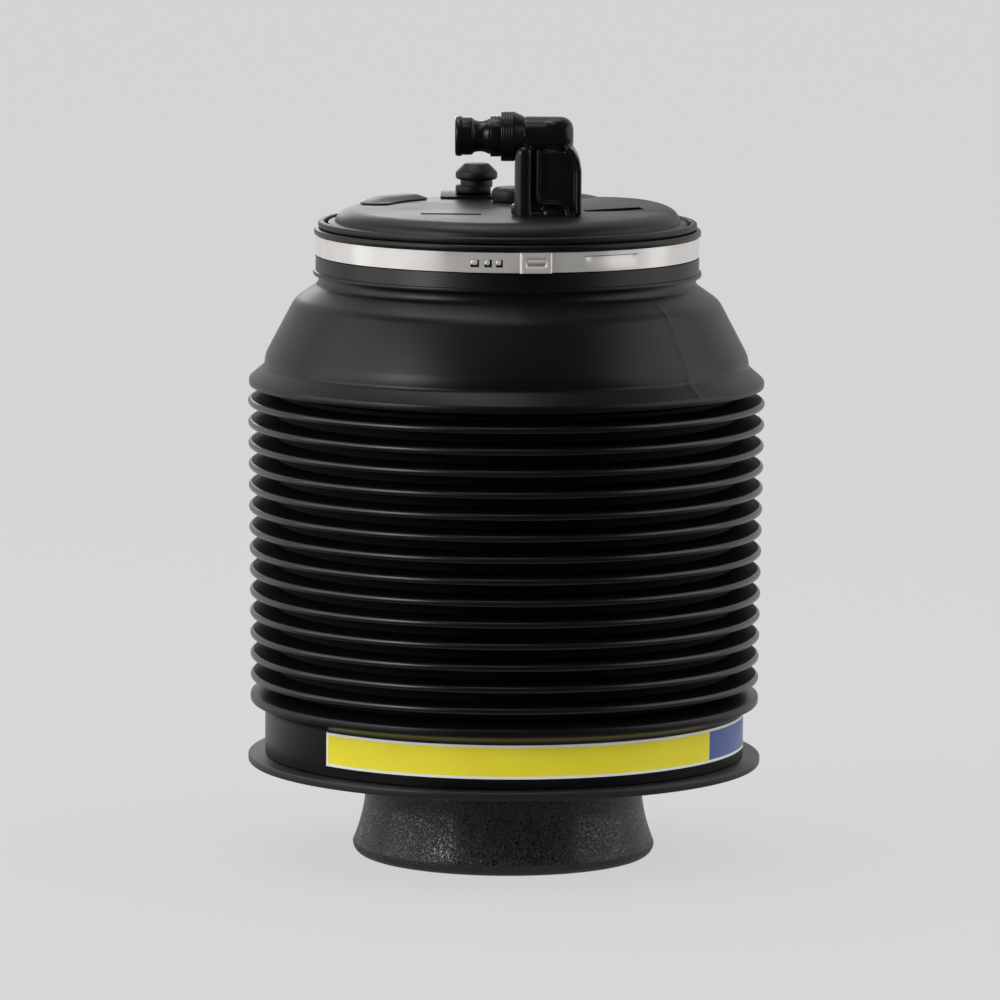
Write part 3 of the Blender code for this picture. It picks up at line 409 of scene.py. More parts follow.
def moulded_group():
    """Moulded rubber or plastic: cloudy colour, patchy gloss and a fine skin."""
    tree, given, made = group(
        "Moulded Skin",
        [("Color", (0.02, 0.02, 0.02, 1.0)), ("Lift", 1.5), ("Roughness", 0.4),
         ("Patches", 0.1), ("Patch Scale", 25.0), ("Skin Scale", 1500.0)],
        [("Color", "NodeSocketColor"), ("Roughness", "NodeSocketFloat"),
         ("Height", "NodeSocketFloat")])
    place = node(tree, "ShaderNodeTexCoord").outputs["Object"]
    cloud = node(tree, "ShaderNodeTexNoise", Detail=4.0, Roughness=0.6)
    wire(tree, place, cloud.inputs["Vector"])
    wire(tree, given.outputs["Patch Scale"], cloud.inputs["Scale"])
    skin = node(tree, "ShaderNodeTexNoise", Detail=3.0, Roughness=0.55)
    wire(tree, place, skin.inputs["Vector"])
    wire(tree, given.outputs["Skin Scale"], skin.inputs["Scale"])
    share = ranged(tree, cloud.outputs["Fac"], 0.35, 0.7, 0.0, 1.0)
    bright = node(tree, "ShaderNodeVectorMath", operation="SCALE")
    wire(tree, given.outputs["Color"], bright.inputs[0])
    wire(tree, given.outputs["Lift"], bright.inputs["Scale"])
    mix = node(tree, "ShaderNodeMix", data_type="RGBA")
    wire(tree, share, mix.inputs["Factor"])
    wire(tree, given.outputs["Color"], mix.inputs["A"])
    wire(tree, bright.outputs["Vector"], mix.inputs["B"])
    wire(tree, mix.outputs["Result"], made.inputs["Color"])
    shift = math_node(tree, "MULTIPLY", math_node(tree, "SUBTRACT", share, 0.5),
                      given.outputs["Patches"])
    wire(tree, math_node(tree, "ADD", given.outputs["Roughness"], shift),
         made.inputs["Roughness"])
    wire(tree, skin.outputs["Fac"], made.inputs["Height"])
    return tree


def grained_group():
    """Coarse eroded grain, as on the piston's foot: short worm-like ridges with smooth tops."""
    tree, given, made = group(
        "Eroded Grain",
        [("Color", (0.02, 0.02, 0.02, 1.0)), ("Scale", 900.0), ("Roughness", 0.35)],
        [("Color", "NodeSocketColor"), ("Roughness", "NodeSocketFloat"),
         ("Height", "NodeSocketFloat")])
    place = node(tree, "ShaderNodeTexCoord").outputs["Object"]
    stretch = node(tree, "ShaderNodeMapping", Scale=(1.0, 1.0, 0.75))
    wire(tree, place, stretch.inputs["Vector"])
    ridges = node(tree, "ShaderNodeTexNoise", Detail=1.0, Roughness=0.5, Distortion=0.7)
    wire(tree, stretch.outputs["Vector"], ridges.inputs["Vector"])
    wire(tree, given.outputs["Scale"], ridges.inputs["Scale"])
    fold = math_node(tree, "ABSOLUTE", math_node(tree, "SUBTRACT", ridges.outputs["Fac"], 0.5))
    crest = ranged(tree, fold, 0.0, 0.12, 0.0, 1.0)
    wire(tree, crest, made.inputs["Height"])
    wire(tree, ranged(tree, crest, 0.1, 0.8, 0.5, given.outputs["Roughness"]),
         made.inputs["Roughness"])
    # Painted shade: the grain's narrow grooves, where its height is low, are coloured at 0.45 of the foot's
    # colour.
    hollow_shade = node(tree, "ShaderNodeVectorMath", operation="SCALE", Scale=0.45)
    wire(tree, given.outputs["Color"], hollow_shade.inputs[0])
    mix = node(tree, "ShaderNodeMix", data_type="RGBA")
    wire(tree, crest, mix.inputs["Factor"])
    wire(tree, hollow_shade.outputs["Vector"], mix.inputs["A"])
    wire(tree, given.outputs["Color"], mix.inputs["B"])
    wire(tree, mix.outputs["Result"], made.inputs["Color"])
    return tree


def rolled_group():
    """Rolled strip: fine lines that run round the spring's axis, and faint smudges."""
    tree, given, made = group(
        "Rolled Strip",
        [("Roughness", 0.25), ("Lines", 0.08)],
        [("Roughness", "NodeSocketFloat"), ("Height", "NodeSocketFloat"),
         ("Tone", "NodeSocketFloat")])
    place = node(tree, "ShaderNodeTexCoord").outputs["Object"]
    parts = node(tree, "ShaderNodeSeparateXYZ")
    wire(tree, place, parts.inputs[0])
    angle = math_node(tree, "ARCTAN2", parts.outputs["X"], parts.outputs["Y"])
    lines_place = node(tree, "ShaderNodeCombineXYZ")
    wire(tree, math_node(tree, "MULTIPLY", angle, 5.0), lines_place.inputs["X"])
    wire(tree, math_node(tree, "MULTIPLY", parts.outputs["Z"], 5200.0),
         lines_place.inputs["Z"])
    lines = node(tree, "ShaderNodeTexNoise", Scale=1.0, Detail=2.0)
    wire(tree, lines_place.outputs["Vector"], lines.inputs["Vector"])
    smudge = node(tree, "ShaderNodeTexNoise", Scale=90.0, Detail=3.0)
    wire(tree, place, smudge.inputs["Vector"])
    both = math_node(tree, "ADD", math_node(tree, "SUBTRACT", lines.outputs["Fac"], 0.5),
                     math_node(tree, "SUBTRACT", smudge.outputs["Fac"], 0.5))
    wire(tree, math_node(tree, "ADD", given.outputs["Roughness"],
                         math_node(tree, "MULTIPLY", both, given.outputs["Lines"])),
         made.inputs["Roughness"])
    wire(tree, lines.outputs["Fac"], made.inputs["Height"])
    wire(tree, ranged(tree, smudge.outputs["Fac"], 0.3, 0.75, 0.86, 1.0), made.inputs["Tone"])
    return tree


def new_material(name, colour, roughness, metallic=0.0):
    """A node material with its Principled shader, and that shader's viewport colour."""
    if name in bpy.data.materials:
        raise RuntimeError(f"the material name {name} is taken")
    made = bpy.data.materials.new(name)
    made.use_nodes = True
    made.diffuse_color = (*colour, 1.0)
    shader = made.node_tree.nodes["Principled BSDF"]
    shader.inputs["Base Color"].default_value = (*colour, 1.0)
    shader.inputs["Roughness"].default_value = roughness
    shader.inputs["Metallic"].default_value = metallic
    return made, made.node_tree, shader


def add_bump(tree, shader, height, distance, strength=1.0):
    """Feed a height into the shader's normal. The distance is in millimetres."""
    bump = node(tree, "ShaderNodeBump", Strength=strength, Distance=distance * MM)
    wire(tree, height, bump.inputs["Height"])
    wire(tree, bump.outputs["Normal"], shader.inputs["Normal"])


def moulded(name, colour, roughness, patches=0.1, patch_scale=25.0, skin_scale=1500.0,
            skin_depth=0.012, lift=1.5, specular=0.5):
    """Moulded rubber or plastic with its own gloss and skin."""
    made, tree, shader = new_material(name, colour, roughness)
    skin = node(tree, "ShaderNodeGroup")
    skin.node_tree = bpy.data.node_groups["Moulded Skin"]
    for key, value in (("Color", (*colour, 1.0)), ("Lift", lift), ("Roughness", roughness),
                       ("Patches", patches), ("Patch Scale", patch_scale),
                       ("Skin Scale", skin_scale)):
        skin.inputs[key].default_value = value
    wire(tree, skin.outputs["Color"], shader.inputs["Base Color"])
    wire(tree, skin.outputs["Roughness"], shader.inputs["Roughness"])
    shader.inputs["Specular IOR Level"].default_value = specular
    add_bump(tree, shader, skin.outputs["Height"], skin_depth)
    return made


def grained(name, colour, roughness, scale, depth):
    """The piston's foot: coarse eroded grain."""
    made, tree, shader = new_material(name, colour, roughness)
    grain = node(tree, "ShaderNodeGroup")
    grain.node_tree = bpy.data.node_groups["Eroded Grain"]
    grain.inputs["Color"].default_value = (*colour, 1.0)
    grain.inputs["Scale"].default_value = scale
    grain.inputs["Roughness"].default_value = roughness
    wire(tree, grain.outputs["Color"], shader.inputs["Base Color"])
    wire(tree, grain.outputs["Roughness"], shader.inputs["Roughness"])
    shader.inputs["Specular IOR Level"].default_value = 1.0
    add_bump(tree, shader, grain.outputs["Height"], depth)
    return made


def rolled(name, colour, roughness, lines=0.08, depth=0.004, metallic=1.0):
    """Rolled or pressed steel."""
    made, tree, shader = new_material(name, colour, roughness, metallic)
    strip = node(tree, "ShaderNodeGroup")
    strip.node_tree = bpy.data.node_groups["Rolled Strip"]
    strip.inputs["Roughness"].default_value = roughness
    strip.inputs["Lines"].default_value = lines
    tone = node(tree, "ShaderNodeVectorMath", operation="SCALE")
    tone.inputs[0].default_value = colour
    wire(tree, strip.outputs["Tone"], tone.inputs["Scale"])
    wire(tree, tone.outputs["Vector"], shader.inputs["Base Color"])
    wire(tree, strip.outputs["Roughness"], shader.inputs["Roughness"])
    add_bump(tree, shader, strip.outputs["Height"], depth)
    return made


def printed_label(name, field, end, length, width):
    """The label's film: yellow field, blue end panel and a white border, on its UV map."""
    made, tree, shader = new_material(name, field, 0.38)
    flat = node(tree, "ShaderNodeUVMap", uv_map="strip")
    parts = node(tree, "ShaderNodeSeparateXYZ")
    wire(tree, flat.outputs["UV"], parts.inputs[0])
    border = 0.95

    def inside(value, size):
        from_edge = math_node(tree, "SUBTRACT", 0.5,
                              math_node(tree, "ABSOLUTE",
                                        math_node(tree, "SUBTRACT", value, 0.5)))
        return math_node(tree, "GREATER_THAN", from_edge, border / size)

    printed = math_node(tree, "MULTIPLY", inside(parts.outputs["X"], length),
                        inside(parts.outputs["Y"], width))
    blue = math_node(tree, "GREATER_THAN", parts.outputs["X"], LABEL_PANEL)
    grain = node(tree, "ShaderNodeTexNoise", Scale=60.0, Detail=4.0)
    wire(tree, node(tree, "ShaderNodeTexCoord").outputs["Object"], grain.inputs["Vector"])
    ink = node(tree, "ShaderNodeMix", data_type="RGBA")
    ink.inputs["A"].default_value = (*field, 1.0)
    ink.inputs["B"].default_value = (*end, 1.0)
    wire(tree, blue, ink.inputs["Factor"])
    whole = node(tree, "ShaderNodeMix", data_type="RGBA")
    whole.inputs["A"].default_value = (0.82, 0.82, 0.8, 1.0)
    wire(tree, printed, whole.inputs["Factor"])
    wire(tree, ink.outputs["Result"], whole.inputs["B"])
    worn = node(tree, "ShaderNodeVectorMath", operation="SCALE")
    wire(tree, whole.outputs["Result"], worn.inputs[0])
    wire(tree, ranged(tree, grain.outputs["Fac"], 0.3, 0.7, 0.93, 1.0), worn.inputs["Scale"])
    wire(tree, worn.outputs["Vector"], shader.inputs["Base Color"])
    wire(tree, ranged(tree, grain.outputs["Fac"], 0.3, 0.7, 0.3, 0.45),
         shader.inputs["Roughness"])
    add_bump(tree, shader, grain.outputs["Fac"], 0.03)
    return made


def corded(name, colour, roughness):
    """The sleeve's rubber, through which its crossed cords show."""
    made, tree, shader = new_material(name, colour, roughness)
    parts = node(tree, "ShaderNodeSeparateXYZ")
    wire(tree, node(tree, "ShaderNodeTexCoord").outputs["Object"], parts.inputs[0])
    angle = math_node(tree, "MULTIPLY",
                      math_node(tree, "ARCTAN2", parts.outputs["X"], parts.outputs["Y"]), 180.0)
    rise = math_node(tree, "MULTIPLY", parts.outputs["Z"], 2600.0)
    crossed = math_node(
        tree, "MAXIMUM",
        math_node(tree, "SINE", math_node(tree, "ADD", angle, rise)),
        math_node(tree, "SINE", math_node(tree, "SUBTRACT", angle, rise)))
    tone = node(tree, "ShaderNodeVectorMath", operation="SCALE")
    tone.inputs[0].default_value = colour
    wire(tree, ranged(tree, crossed, -1.0, 1.0, 0.75, 1.25), tone.inputs["Scale"])
    wire(tree, tone.outputs["Vector"], shader.inputs["Base Color"])
    wire(tree, ranged(tree, crossed, -1.0, 1.0, roughness + 0.1, roughness),
         shader.inputs["Roughness"])
    add_bump(tree, shader, crossed, 0.06)
    return made


def cellular(name, colour, roughness):
    """The buffer's microcellular skin: fine pores in a cream body."""
    made, tree, shader = new_material(name, colour, roughness)
    cells = node(tree, "ShaderNodeTexVoronoi", Scale=1400.0)
    wire(tree, node(tree, "ShaderNodeTexCoord").outputs["Object"], cells.inputs["Vector"])
    tone = node(tree, "ShaderNodeVectorMath", operation="SCALE")
    tone.inputs[0].default_value = colour
    wire(tree, ranged(tree, cells.outputs["Distance"], 0.0, 0.8, 1.05, 0.8),
         tone.inputs["Scale"])
    wire(tree, tone.outputs["Vector"], shader.inputs["Base Color"])
    wire(tree, ranged(tree, cells.outputs["Distance"], 0.0, 0.8, roughness, roughness + 0.1),
         shader.inputs["Roughness"])
    add_bump(tree, shader, cells.outputs["Distance"], 0.04)
    return made


LABEL_START = -46.6
LABEL_END = 84.0
LABEL_PANEL = (57.5 - LABEL_START) / (LABEL_END - LABEL_START)


class SPRING_OT_finishes(bpy.types.Operator):
    """Make the rubber, plastic, steel, label and buffer materials"""
    bl_idname = "spring.finishes"
    bl_label = "Finishes"

    def execute(self, context):
        colours = context.scene.spring_colours
        moulded_group()
        grained_group()
        rolled_group()
        rubber, plastic = tuple(colours.rubber), tuple(colours.plastic)
        moulded("boot_skin", rubber, 0.37, patches=0.06, patch_scale=14.0)
        # The next two are lit and shaded copies of the boot rubber, in the same colour: the ribs' rims get
        # stronger, sharper reflections as a painted highlight, and the valleys nearly none, as painted
        # shade.
        moulded("rim_skin_painted_highlight", rubber, 0.3, patches=0.06, patch_scale=14.0, specular=0.8)
        moulded("valley_skin_painted_shade", rubber, 0.6, specular=0.12)
        moulded("cap_plastic", plastic, 0.44, patches=0.08, patch_scale=30.0,
                skin_scale=2200.0, skin_depth=0.01)
        moulded("fitting_plastic", plastic, 0.27, patches=0.05, patch_scale=90.0,
                skin_scale=1800.0, skin_depth=0.004)
        moulded("flange_plastic", tuple(colours.flange), 0.4, patches=0.1, patch_scale=20.0)
        moulded("stud_rubber", rubber, 0.5, patches=0.12, patch_scale=120.0,
                skin_depth=0.02, lift=2.0)
        grained("foot_plastic", tuple(colours.foot), 0.2, 1300.0, 0.11)
        rolled("clamp_steel", tuple(colours.steel), 0.25, lines=0.04, depth=0.0012,
               metallic=0.56)
        rolled("zinc_steel", (0.6, 0.6, 0.58), 0.42, lines=0.2)
        corded("sleeve_cords", (0.02, 0.02, 0.02), 0.6)
        cellular("buffer_foam", tuple(colours.foam), 0.75)
        height = high("label").z - low("label").z
        length = math.radians(LABEL_END - LABEL_START) * high("boot_cuff").x
        printed_label("label_film", tuple(colours.label), tuple(colours.label_end), length,
                      height)
        return {"FINISHED"}


def finish_of(name):
    """A finish that the first operator made."""
    return bpy.data.materials[name]


# The lower half


class SPRING_OT_piston(bpy.types.Operator):
    """Add the piston with its grained foot, the ribbed floor in it and the threaded insert"""
    bl_idname = "spring.piston"
    bl_label = "Piston and Foot"

    def execute(self, context):
        sizes = context.scene.spring_foot
        top = high("piston").z
        foot = high("piston").x
        spread, edge = sizes.spread / MM, sizes.edge / MM
        waist = foot - spread
        flare, rim = sizes.flare / MM, edge + 0.1
        side = [(waist + spread * (step / 12.0) ** 1.7, rim + flare * (1.0 - step / 12.0))
                for step in range(13)]
        foot_top = low("boot_carrier").z - 0.3
        body, neck, bore = waist - 0.7, waist - 11.2, waist - 4.7
        profile = [
            (0.0, top), (neck, top, 1.5), (neck, top - 14.5, 1.0), (body, top - 21.5, 2.0),
            (body, foot_top), (waist, foot_top, 0.3), *side[:-1], (foot, rim),
            (foot, 0.0, edge), (bore, 0.0, 0.8), (bore, top - 25.5, 2.0),
            (neck - 4.0, top - 18.5, 2.0), (neck - 4.0, top - 4.0, 1.0), (0.0, top - 4.0)]
        add_piece("piston_body", turned(profile), finish_of("foot_plastic"), LOWER,
                  "piston_plastic", "piston")
        outer = high("piston_floor").x
        insert = high("arm_insert").x
        hole, boss = insert + 0.3, insert + 4.3
        plate = turned([(outer, 4.0, 0.3), (outer, 0.0, 0.3), (outer - 2.5, 0.0, 0.3),
                        (outer - 2.5, 2.6, 0.6), (boss, 2.6, 0.6), (boss, 0.0, 0.3),
                        (hole, 0.0, 0.3), (hole, 16.0, 0.3), (boss, 16.0, 0.3),
                        (boss, 4.0, 0.6)])
        webs = []
        for step in range(12):
            web = rounded_box((boss - 0.5, -0.9, 0.05), (outer - 2.0, 0.9, 3.0), 0.3, 2)
            webs.append(moved(web, turn=round_axis(30.0 * step + 15.0)))
        add_piece("floor_web", joined(plate, *webs), finish_of("cap_plastic"), LOWER,
                  "black_plastic", "piston_floor")
        thread = [(insert, 16.0, 0.4), (insert, 0.0, 0.4)]
        pitch = 1.25
        turns = int(15.0 / pitch)
        for step in range(turns):
            base = 0.6 + pitch * step
            thread += [(4.9, base), (4.2, base + pitch / 2.0)]
        thread.append((4.9, 16.0))
        add_piece("threaded_insert", turned(thread, SMALL_STEPS), finish_of("zinc_steel"),
                  LOWER, "steel", "arm_insert")
        return {"FINISHED"}


class SPRING_OT_carrier(bpy.types.Operator):
    """Add the flange that closes the boot at the bottom"""
    bl_idname = "spring.carrier"
    bl_label = "Boot Carrier"

    def execute(self, context):
        bottom, top = low("boot_carrier").z, high("boot_carrier").z
        rim = high("boot_carrier").x
        plate = bottom + 3.0
        bore = high("carrier_lock_ring").x - 3.2
        hub = bore + 3.2
        wall = high("label").x - 0.6 - 3.5 - 0.3
        profile = [
            (wall - 3.2, top, 0.6), (wall, top, 0.6), (wall, plate, 0.3),
            (rim, plate, 0.7), (rim, bottom, 0.9), (bore, bottom, 0.3),
            (bore, plate + 12.5, 0.3), (hub, plate + 12.5, 0.6), (hub, plate, 0.8),
            (wall - 3.2, plate, 0.8)]
        add_piece("flange_plate", turned(profile), finish_of("flange_plastic"), LOWER,
                  "boot_rubber", "boot_carrier")
        return {"FINISHED"}


class SPRING_OT_cuff(bpy.types.Operator):
    """Add the boot's cuff with the rim above it"""
    bl_idname = "spring.cuff"
    bl_label = "Cuff"

    def execute(self, context):
        sizes = context.scene.spring_boot
        bottom, top = low("boot_cuff").z, high("boot_cuff").z
        rim = high("boot_cuff").x
        outer = high("label").x - 0.6
        valley = high("boot_bellows").x - sizes.rib_depth / MM
        bore, neck = outer - 3.5, valley - sizes.wall / MM
        edge = top - 2.4
        profile = [
            (valley, top, 0.4), (rim, edge, 0.6), (rim, edge - 2.8, 0.7),
            (outer, edge - 5.4, 1.6), (outer, bottom, 0.5), (bore, bottom, 0.3),
            (bore, edge - 5.4, 0.8), (neck, edge - 2.8, 0.8), (neck, top, 0.3)]
        add_piece("cuff_wall", turned(profile), finish_of("boot_skin"), LOWER,
                  "boot_rubber", "boot_cuff")
        return {"FINISHED"}


class SPRING_OT_label(bpy.types.Operator):
    """Add the printed film on the cuff, left without words"""
    bl_idname = "spring.label"
    bl_label = "Label"

    def execute(self, context):
        bottom, top = low("label").z, high("label").z
        sheet = bent_sheet(high("label").x - 0.55, bottom, top, LABEL_START, LABEL_END, 120, 4)
        add_piece("label_strip", thicken(sheet, 0.22), finish_of("label_film"), LOWER,
                  "label_print", "label")
        return {"FINISHED"}


# The boot above


class SPRING_OT_bellows(bpy.types.Operator):
    """Add the ribbed bellows"""
    bl_idname = "spring.bellows"
    bl_label = "Bellows"

    def execute(self, context):
        sizes = context.scene.spring_boot
        bottom, top = low("boot_bellows").z, high("boot_bellows").z
        widest = high("boot_bellows").x
        valley = widest - sizes.rib_depth / MM
        pitch = (top - bottom) / sizes.rib_count
        rim, root = sizes.rib_rim / MM / 2.0, sizes.rib_root / MM / 2.0
        profile = [(valley, top)]
        for rib in range(sizes.rib_count):
            height = top - (rib + 0.5) * pitch
            radius = widest - sizes.taper / MM * rib / (sizes.rib_count - 1)
            profile += [(valley, height + root), (radius, height + rim, 1.1),
                        (radius, height - rim, 1.1), (valley, height - root)]
        profile += [(valley, bottom), (valley - sizes.wall / MM, bottom),
                    (valley - sizes.wall / MM, top)]
        form = turned(profile)
        # The ribs' rims take the painted-highlight copy of the rubber, and every face deeper than the rims
        # takes the painted-shade copy.
        for face in form.faces:
            reach = face.calc_center_median().to_2d().length / MM
            face.material_index = 0 if reach > widest - sizes.taper / MM - 1.5 else 1
        bellows = add_piece("ribbed_bellows", form, finish_of("rim_skin_painted_highlight"), UPPER,
                            "boot_rubber", "boot_bellows")
        bellows.data.materials.append(finish_of("valley_skin_painted_shade"))
        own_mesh(bellows)
        return {"FINISHED"}


class SPRING_OT_shoulder(bpy.types.Operator):
    """Add the boot's bell with its skirt, crown, neck, ridge and bead, and its mould line"""
    bl_idname = "spring.shoulder"
    bl_label = "Boot Shoulder"

    def execute(self, context):
        sizes = context.scene.spring_boot
        bottom, top = low("boot_shoulder").z, high("boot_shoulder").z
        skirt = high("boot_shoulder").x
        valley = high("boot_bellows").x - sizes.rib_depth / MM
        neck = high("support_ring").x - 0.2
        bell = skirt - 5.7
        crease = neck + 0.4416 * (bell - neck)
        skirt_top = bottom + 4.3
        bell_low, bell_top = skirt_top + 4.9, skirt_top + 8.2
        crease_height, neck_low = bell_top + 20.9, bell_top + 26.9
        ridge = neck_low + 3.0
        seat, bead = top - 10.0, top - 2.2
        wall = sizes.wall / MM
        profile = [
            (neck + 1.7, top, 0.9), (neck + 1.7, bead, 0.4), (neck, bead, 0.3),
            (neck, seat, 0.2), (neck + 1.1, seat, 0.4), (neck + 1.1, ridge + 1.8, 0.2),
            (neck + 2.0, ridge + 1.8, 0.5), (neck + 2.0, ridge, 0.6), (neck, ridge, 0.5),
            (neck, neck_low, 1.4), (crease, crease_height, 2.2),
            (bell, bell_top, 2.4), (bell, bell_low, 1.2), (skirt, skirt_top, 0.6),
            (skirt, skirt_top - 2.4, 0.5), (valley, bottom, 0.5), (valley - wall, bottom, 0.3),
            (bell - wall, bell_low - wall, 1.0), (bell - wall, bell_top - 0.6, 1.5),
            (crease - wall, crease_height - wall, 2.0), (neck - wall, neck_low - wall, 1.0),
            (neck - wall, top, 0.3)]
        form = turned(profile)
        self.mould_line(form, 47.5, neck_low - 1.0, skirt_top)
        add_piece("boot_bell", form, finish_of("boot_skin"), UPPER, "boot_rubber",
                  "boot_shoulder")
        return {"FINISHED"}

    def mould_line(self, form, degrees, line_top, line_bottom):
        """Raise the thin line that the mould's halves leave down the bell."""
        angle = math.radians(degrees)
        out = Vector((math.sin(angle), -math.cos(angle), 0.0))
        across = UP.cross(out)
        for shift in (-0.3, 0.0, 0.3):
            near = [face for face in form.faces
                    if face.calc_center_median().dot(out) > 0.06 and
                    abs(face.calc_center_median().dot(across)) < 0.012]
            parts = near + list({edge for face in near for edge in face.edges}) + \
                list({vert for face in near for vert in face.verts})
            bmesh.ops.bisect_plane(form, geom=parts, dist=WELD, plane_no=across,
                                   plane_co=across * shift * MM)
        for vert in form.verts:
            if abs(vert.co.dot(across)) < WELD * 5.0 and vert.co.dot(out) > 0.0 and \
                    line_bottom * MM < vert.co.z < line_top * MM and vert.normal.dot(out) > 0.0:
                vert.co += vert.normal * 0.06 * MM


class SPRING_OT_clamp(bpy.types.Operator):
    """Add the stepless ear clamp: strip, overlapping end with its windows and hooks, and ear"""
    bl_idname = "spring.clamp"
    bl_label = "Clamp"

    def execute(self, context):
        sizes = context.scene.spring_clamp
        strip = sizes.strip / MM
        top, bottom = high("clamp_band").z, low("clamp_band").z
        inner = high("support_ring").x + 0.3
        steel = finish_of("clamp_steel")
        band = bent_sheet(inner + 0.05, bottom, top, -180.0, 180.0, 480, 24)
        bmesh.ops.remove_doubles(band, verts=band.verts, dist=WELD)
        self.press_tongue(band, bottom, top)
        windows = ((-10.9, -8.2), (-6.7, -4.6), (-3.4, -1.3))
        centre = (bottom + top) / 2.0 - 0.3
        self.open_windows(band, windows, centre, 0.8, 1.9)
        add_piece("clamp_strip", thicken(band, strip - 0.1), steel, UPPER, "steel", "clamp_band")
        outer = inner + strip + 0.04
        lap = bent_sheet(outer, bottom, top, -13.2, 3.4, 84, 26)
        self.open_windows(lap, windows, centre, 0.0, 1.5)
        add_piece("clamp_lap", thicken(lap, strip), steel, UPPER, "steel", "clamp_band")
        hooks = []
        for start, end in windows:
            width = math.radians(end - start) * outer
            hook = rounded_box((-width / 2.0 + 0.1, -1.0, -0.7), (width / 2.0 - 0.7, 0.3, 1.35),
                               0.4, 3)
            bmesh.ops.rotate(hook, verts=hook.verts, cent=(0.0, 0.0, -0.75 * MM),
                             matrix=Matrix.Rotation(math.radians(-14.0), 3, "X"))
            turn = round_axis((start + end) / 2.0)
            place = turn @ Vector((0.0, -outer, 0.0))
            hooks.append(moved(hook, (place.x, place.y, centre), turn))
        add_piece("clamp_hooks", joined(*hooks), steel, UPPER, "steel", "clamp_band")
        self.add_ear(sizes, inner + strip, (bottom + top) / 2.0, steel)
        return {"FINISHED"}

    def open_windows(self, sheet, windows, centre, spare, half):
        """Cut the windows for the hooks, a little wider in the strip underneath."""
        gone = []
        for face in sheet.faces:
            spot = face.calc_center_median() / MM
            angle = math.degrees(math.atan2(spot.x, -spot.y))
            if abs(spot.z - centre) < half and any(
                    start - spare < angle < end + spare for start, end in windows):
                gone.append(face)
        bmesh.ops.delete(sheet, geom=gone, context="FACES")

    def press_tongue(self, band, bottom, top):
        """Lance a slit into the strip and press in the tongue below it, right of the ear."""
        start, end = 23.1, 41.9
        slit_low, slit_high = top - 1.75, top - 1.4
        gone = []
        for face in band.faces:
            spot = face.calc_center_median() / MM
            angle = math.degrees(math.atan2(spot.x, -spot.y))
            if start + 0.4 < angle < end - 0.4 and slit_low < spot.z < slit_high:
                gone.append(face)
        bmesh.ops.delete(band, geom=gone, context="FACES")
        for vert in band.verts:
            spot = vert.co / MM
            angle = math.degrees(math.atan2(spot.x, -spot.y))
            if not (start < angle < end and bottom + 1.0 < spot.z < slit_high - 0.1):
                continue
            ends = min(angle - start, end - angle, 2.6) / 2.6
            rise = min(1.0, (spot.z - bottom - 1.0) / (slit_low - bottom - 1.2))
            sunk = 0.5 * math.sin(ends * math.pi / 2.0) ** 1.5 * rise ** 1.4
            way = Vector((spot.x, spot.y, 0.0)).normalized()
            vert.co -= way * sunk * MM

    def add_ear(self, sizes, radius, height, steel):
        """The closed ear: a loop of strip, open above and below, with a pressed and slit face."""
        half, rise = sizes.ear_width / MM / 2.0, sizes.ear_height / MM / 2.0
        reach, corner = 2.05, 0.8
        form = bmesh.new()
        bmesh.ops.create_grid(form, x_segments=110, y_segments=56, size=0.5)
        for vert in form.verts:
            along, up = vert.co.x * 2.0, vert.co.y * 2.0 * rise
            share = abs(along)
            if share < 0.7:
                x, out = share / 0.7 * (half - corner), reach
            elif share < 0.82:
                bend = (share - 0.7) / 0.12 * math.pi / 2.0
                x = half - corner + corner * math.sin(bend)
                out = reach - corner * (1.0 - math.cos(bend))
            else:
                x, out = half, (reach - corner) * (1.0 - share) / 0.18
            out -= self.pressed(x, up)
            vert.co = Vector((math.copysign(x, along), -out, up)) * MM
        slit = []
        for face in form.faces:
            spot = face.calc_center_median() / MM
            if abs(spot.x) < 2.9 and -0.85 < spot.z < -0.35 and -spot.y > 1.0:
                slit.append(face)
        bmesh.ops.delete(form, geom=slit, context="FACES")
        bmesh.ops.recalc_face_normals(form, faces=form.faces)
        if form.faces[:][0].normal.dot(form.faces[:][0].calc_center_median()) < 0.0:
            bmesh.ops.reverse_faces(form, faces=form.faces)
        thicken(form, 0.45)
        turn = round_axis(math.degrees(sizes.ear_angle))
        place = turn @ Vector((0.0, -radius, 0.0))
        add_piece("clamp_ear", moved(form, (place.x, place.y, height), turn), steel, UPPER,
                  "steel", "clamp_band")

    def pressed(self, x, up):
        """How deep the ear's face is pressed in at a spot: a rounded field with a bar in it."""
        across, along = abs(x) - 2.7, abs(up) - 0.65
        edge = math.hypot(max(across, 0.0), max(along, 0.0)) - 1.5
        depth = 0.42 * min(1.0, max(0.0, -edge / 0.7))
        if abs(x) < 3.0 and abs(up - 0.35) < 0.5:
            depth -= 0.3 * math.cos((up - 0.35) * math.pi)
        return depth


# The cap and what stands on it


class SPRING_OT_ring(bpy.types.Operator):
    """Add the stiff ring in the boot's neck, whose lip is the rim round the cap"""
    bl_idname = "spring.ring"
    bl_label = "Support Ring"

    def execute(self, context):
        top, bottom = high("support_ring").z, low("support_ring").z
        lip = high("support_ring").x
        wall, mouth = lip - 2.1, lip - 2.2
        profile = [
            (mouth, top, 0.5), (lip, top, 0.8), (lip, top - 2.3, 0.5), (wall, top - 2.3, 0.1),
            (wall, bottom, 0.4), (wall - 3.0, bottom, 0.4), (wall - 3.0, top - 3.45, 0.4),
            (mouth, top - 3.45, 0.3)]
        add_piece("rim_ring", turned(profile), finish_of("cap_plastic"), UPPER,
                  "black_plastic", "support_ring")
        return {"FINISHED"}


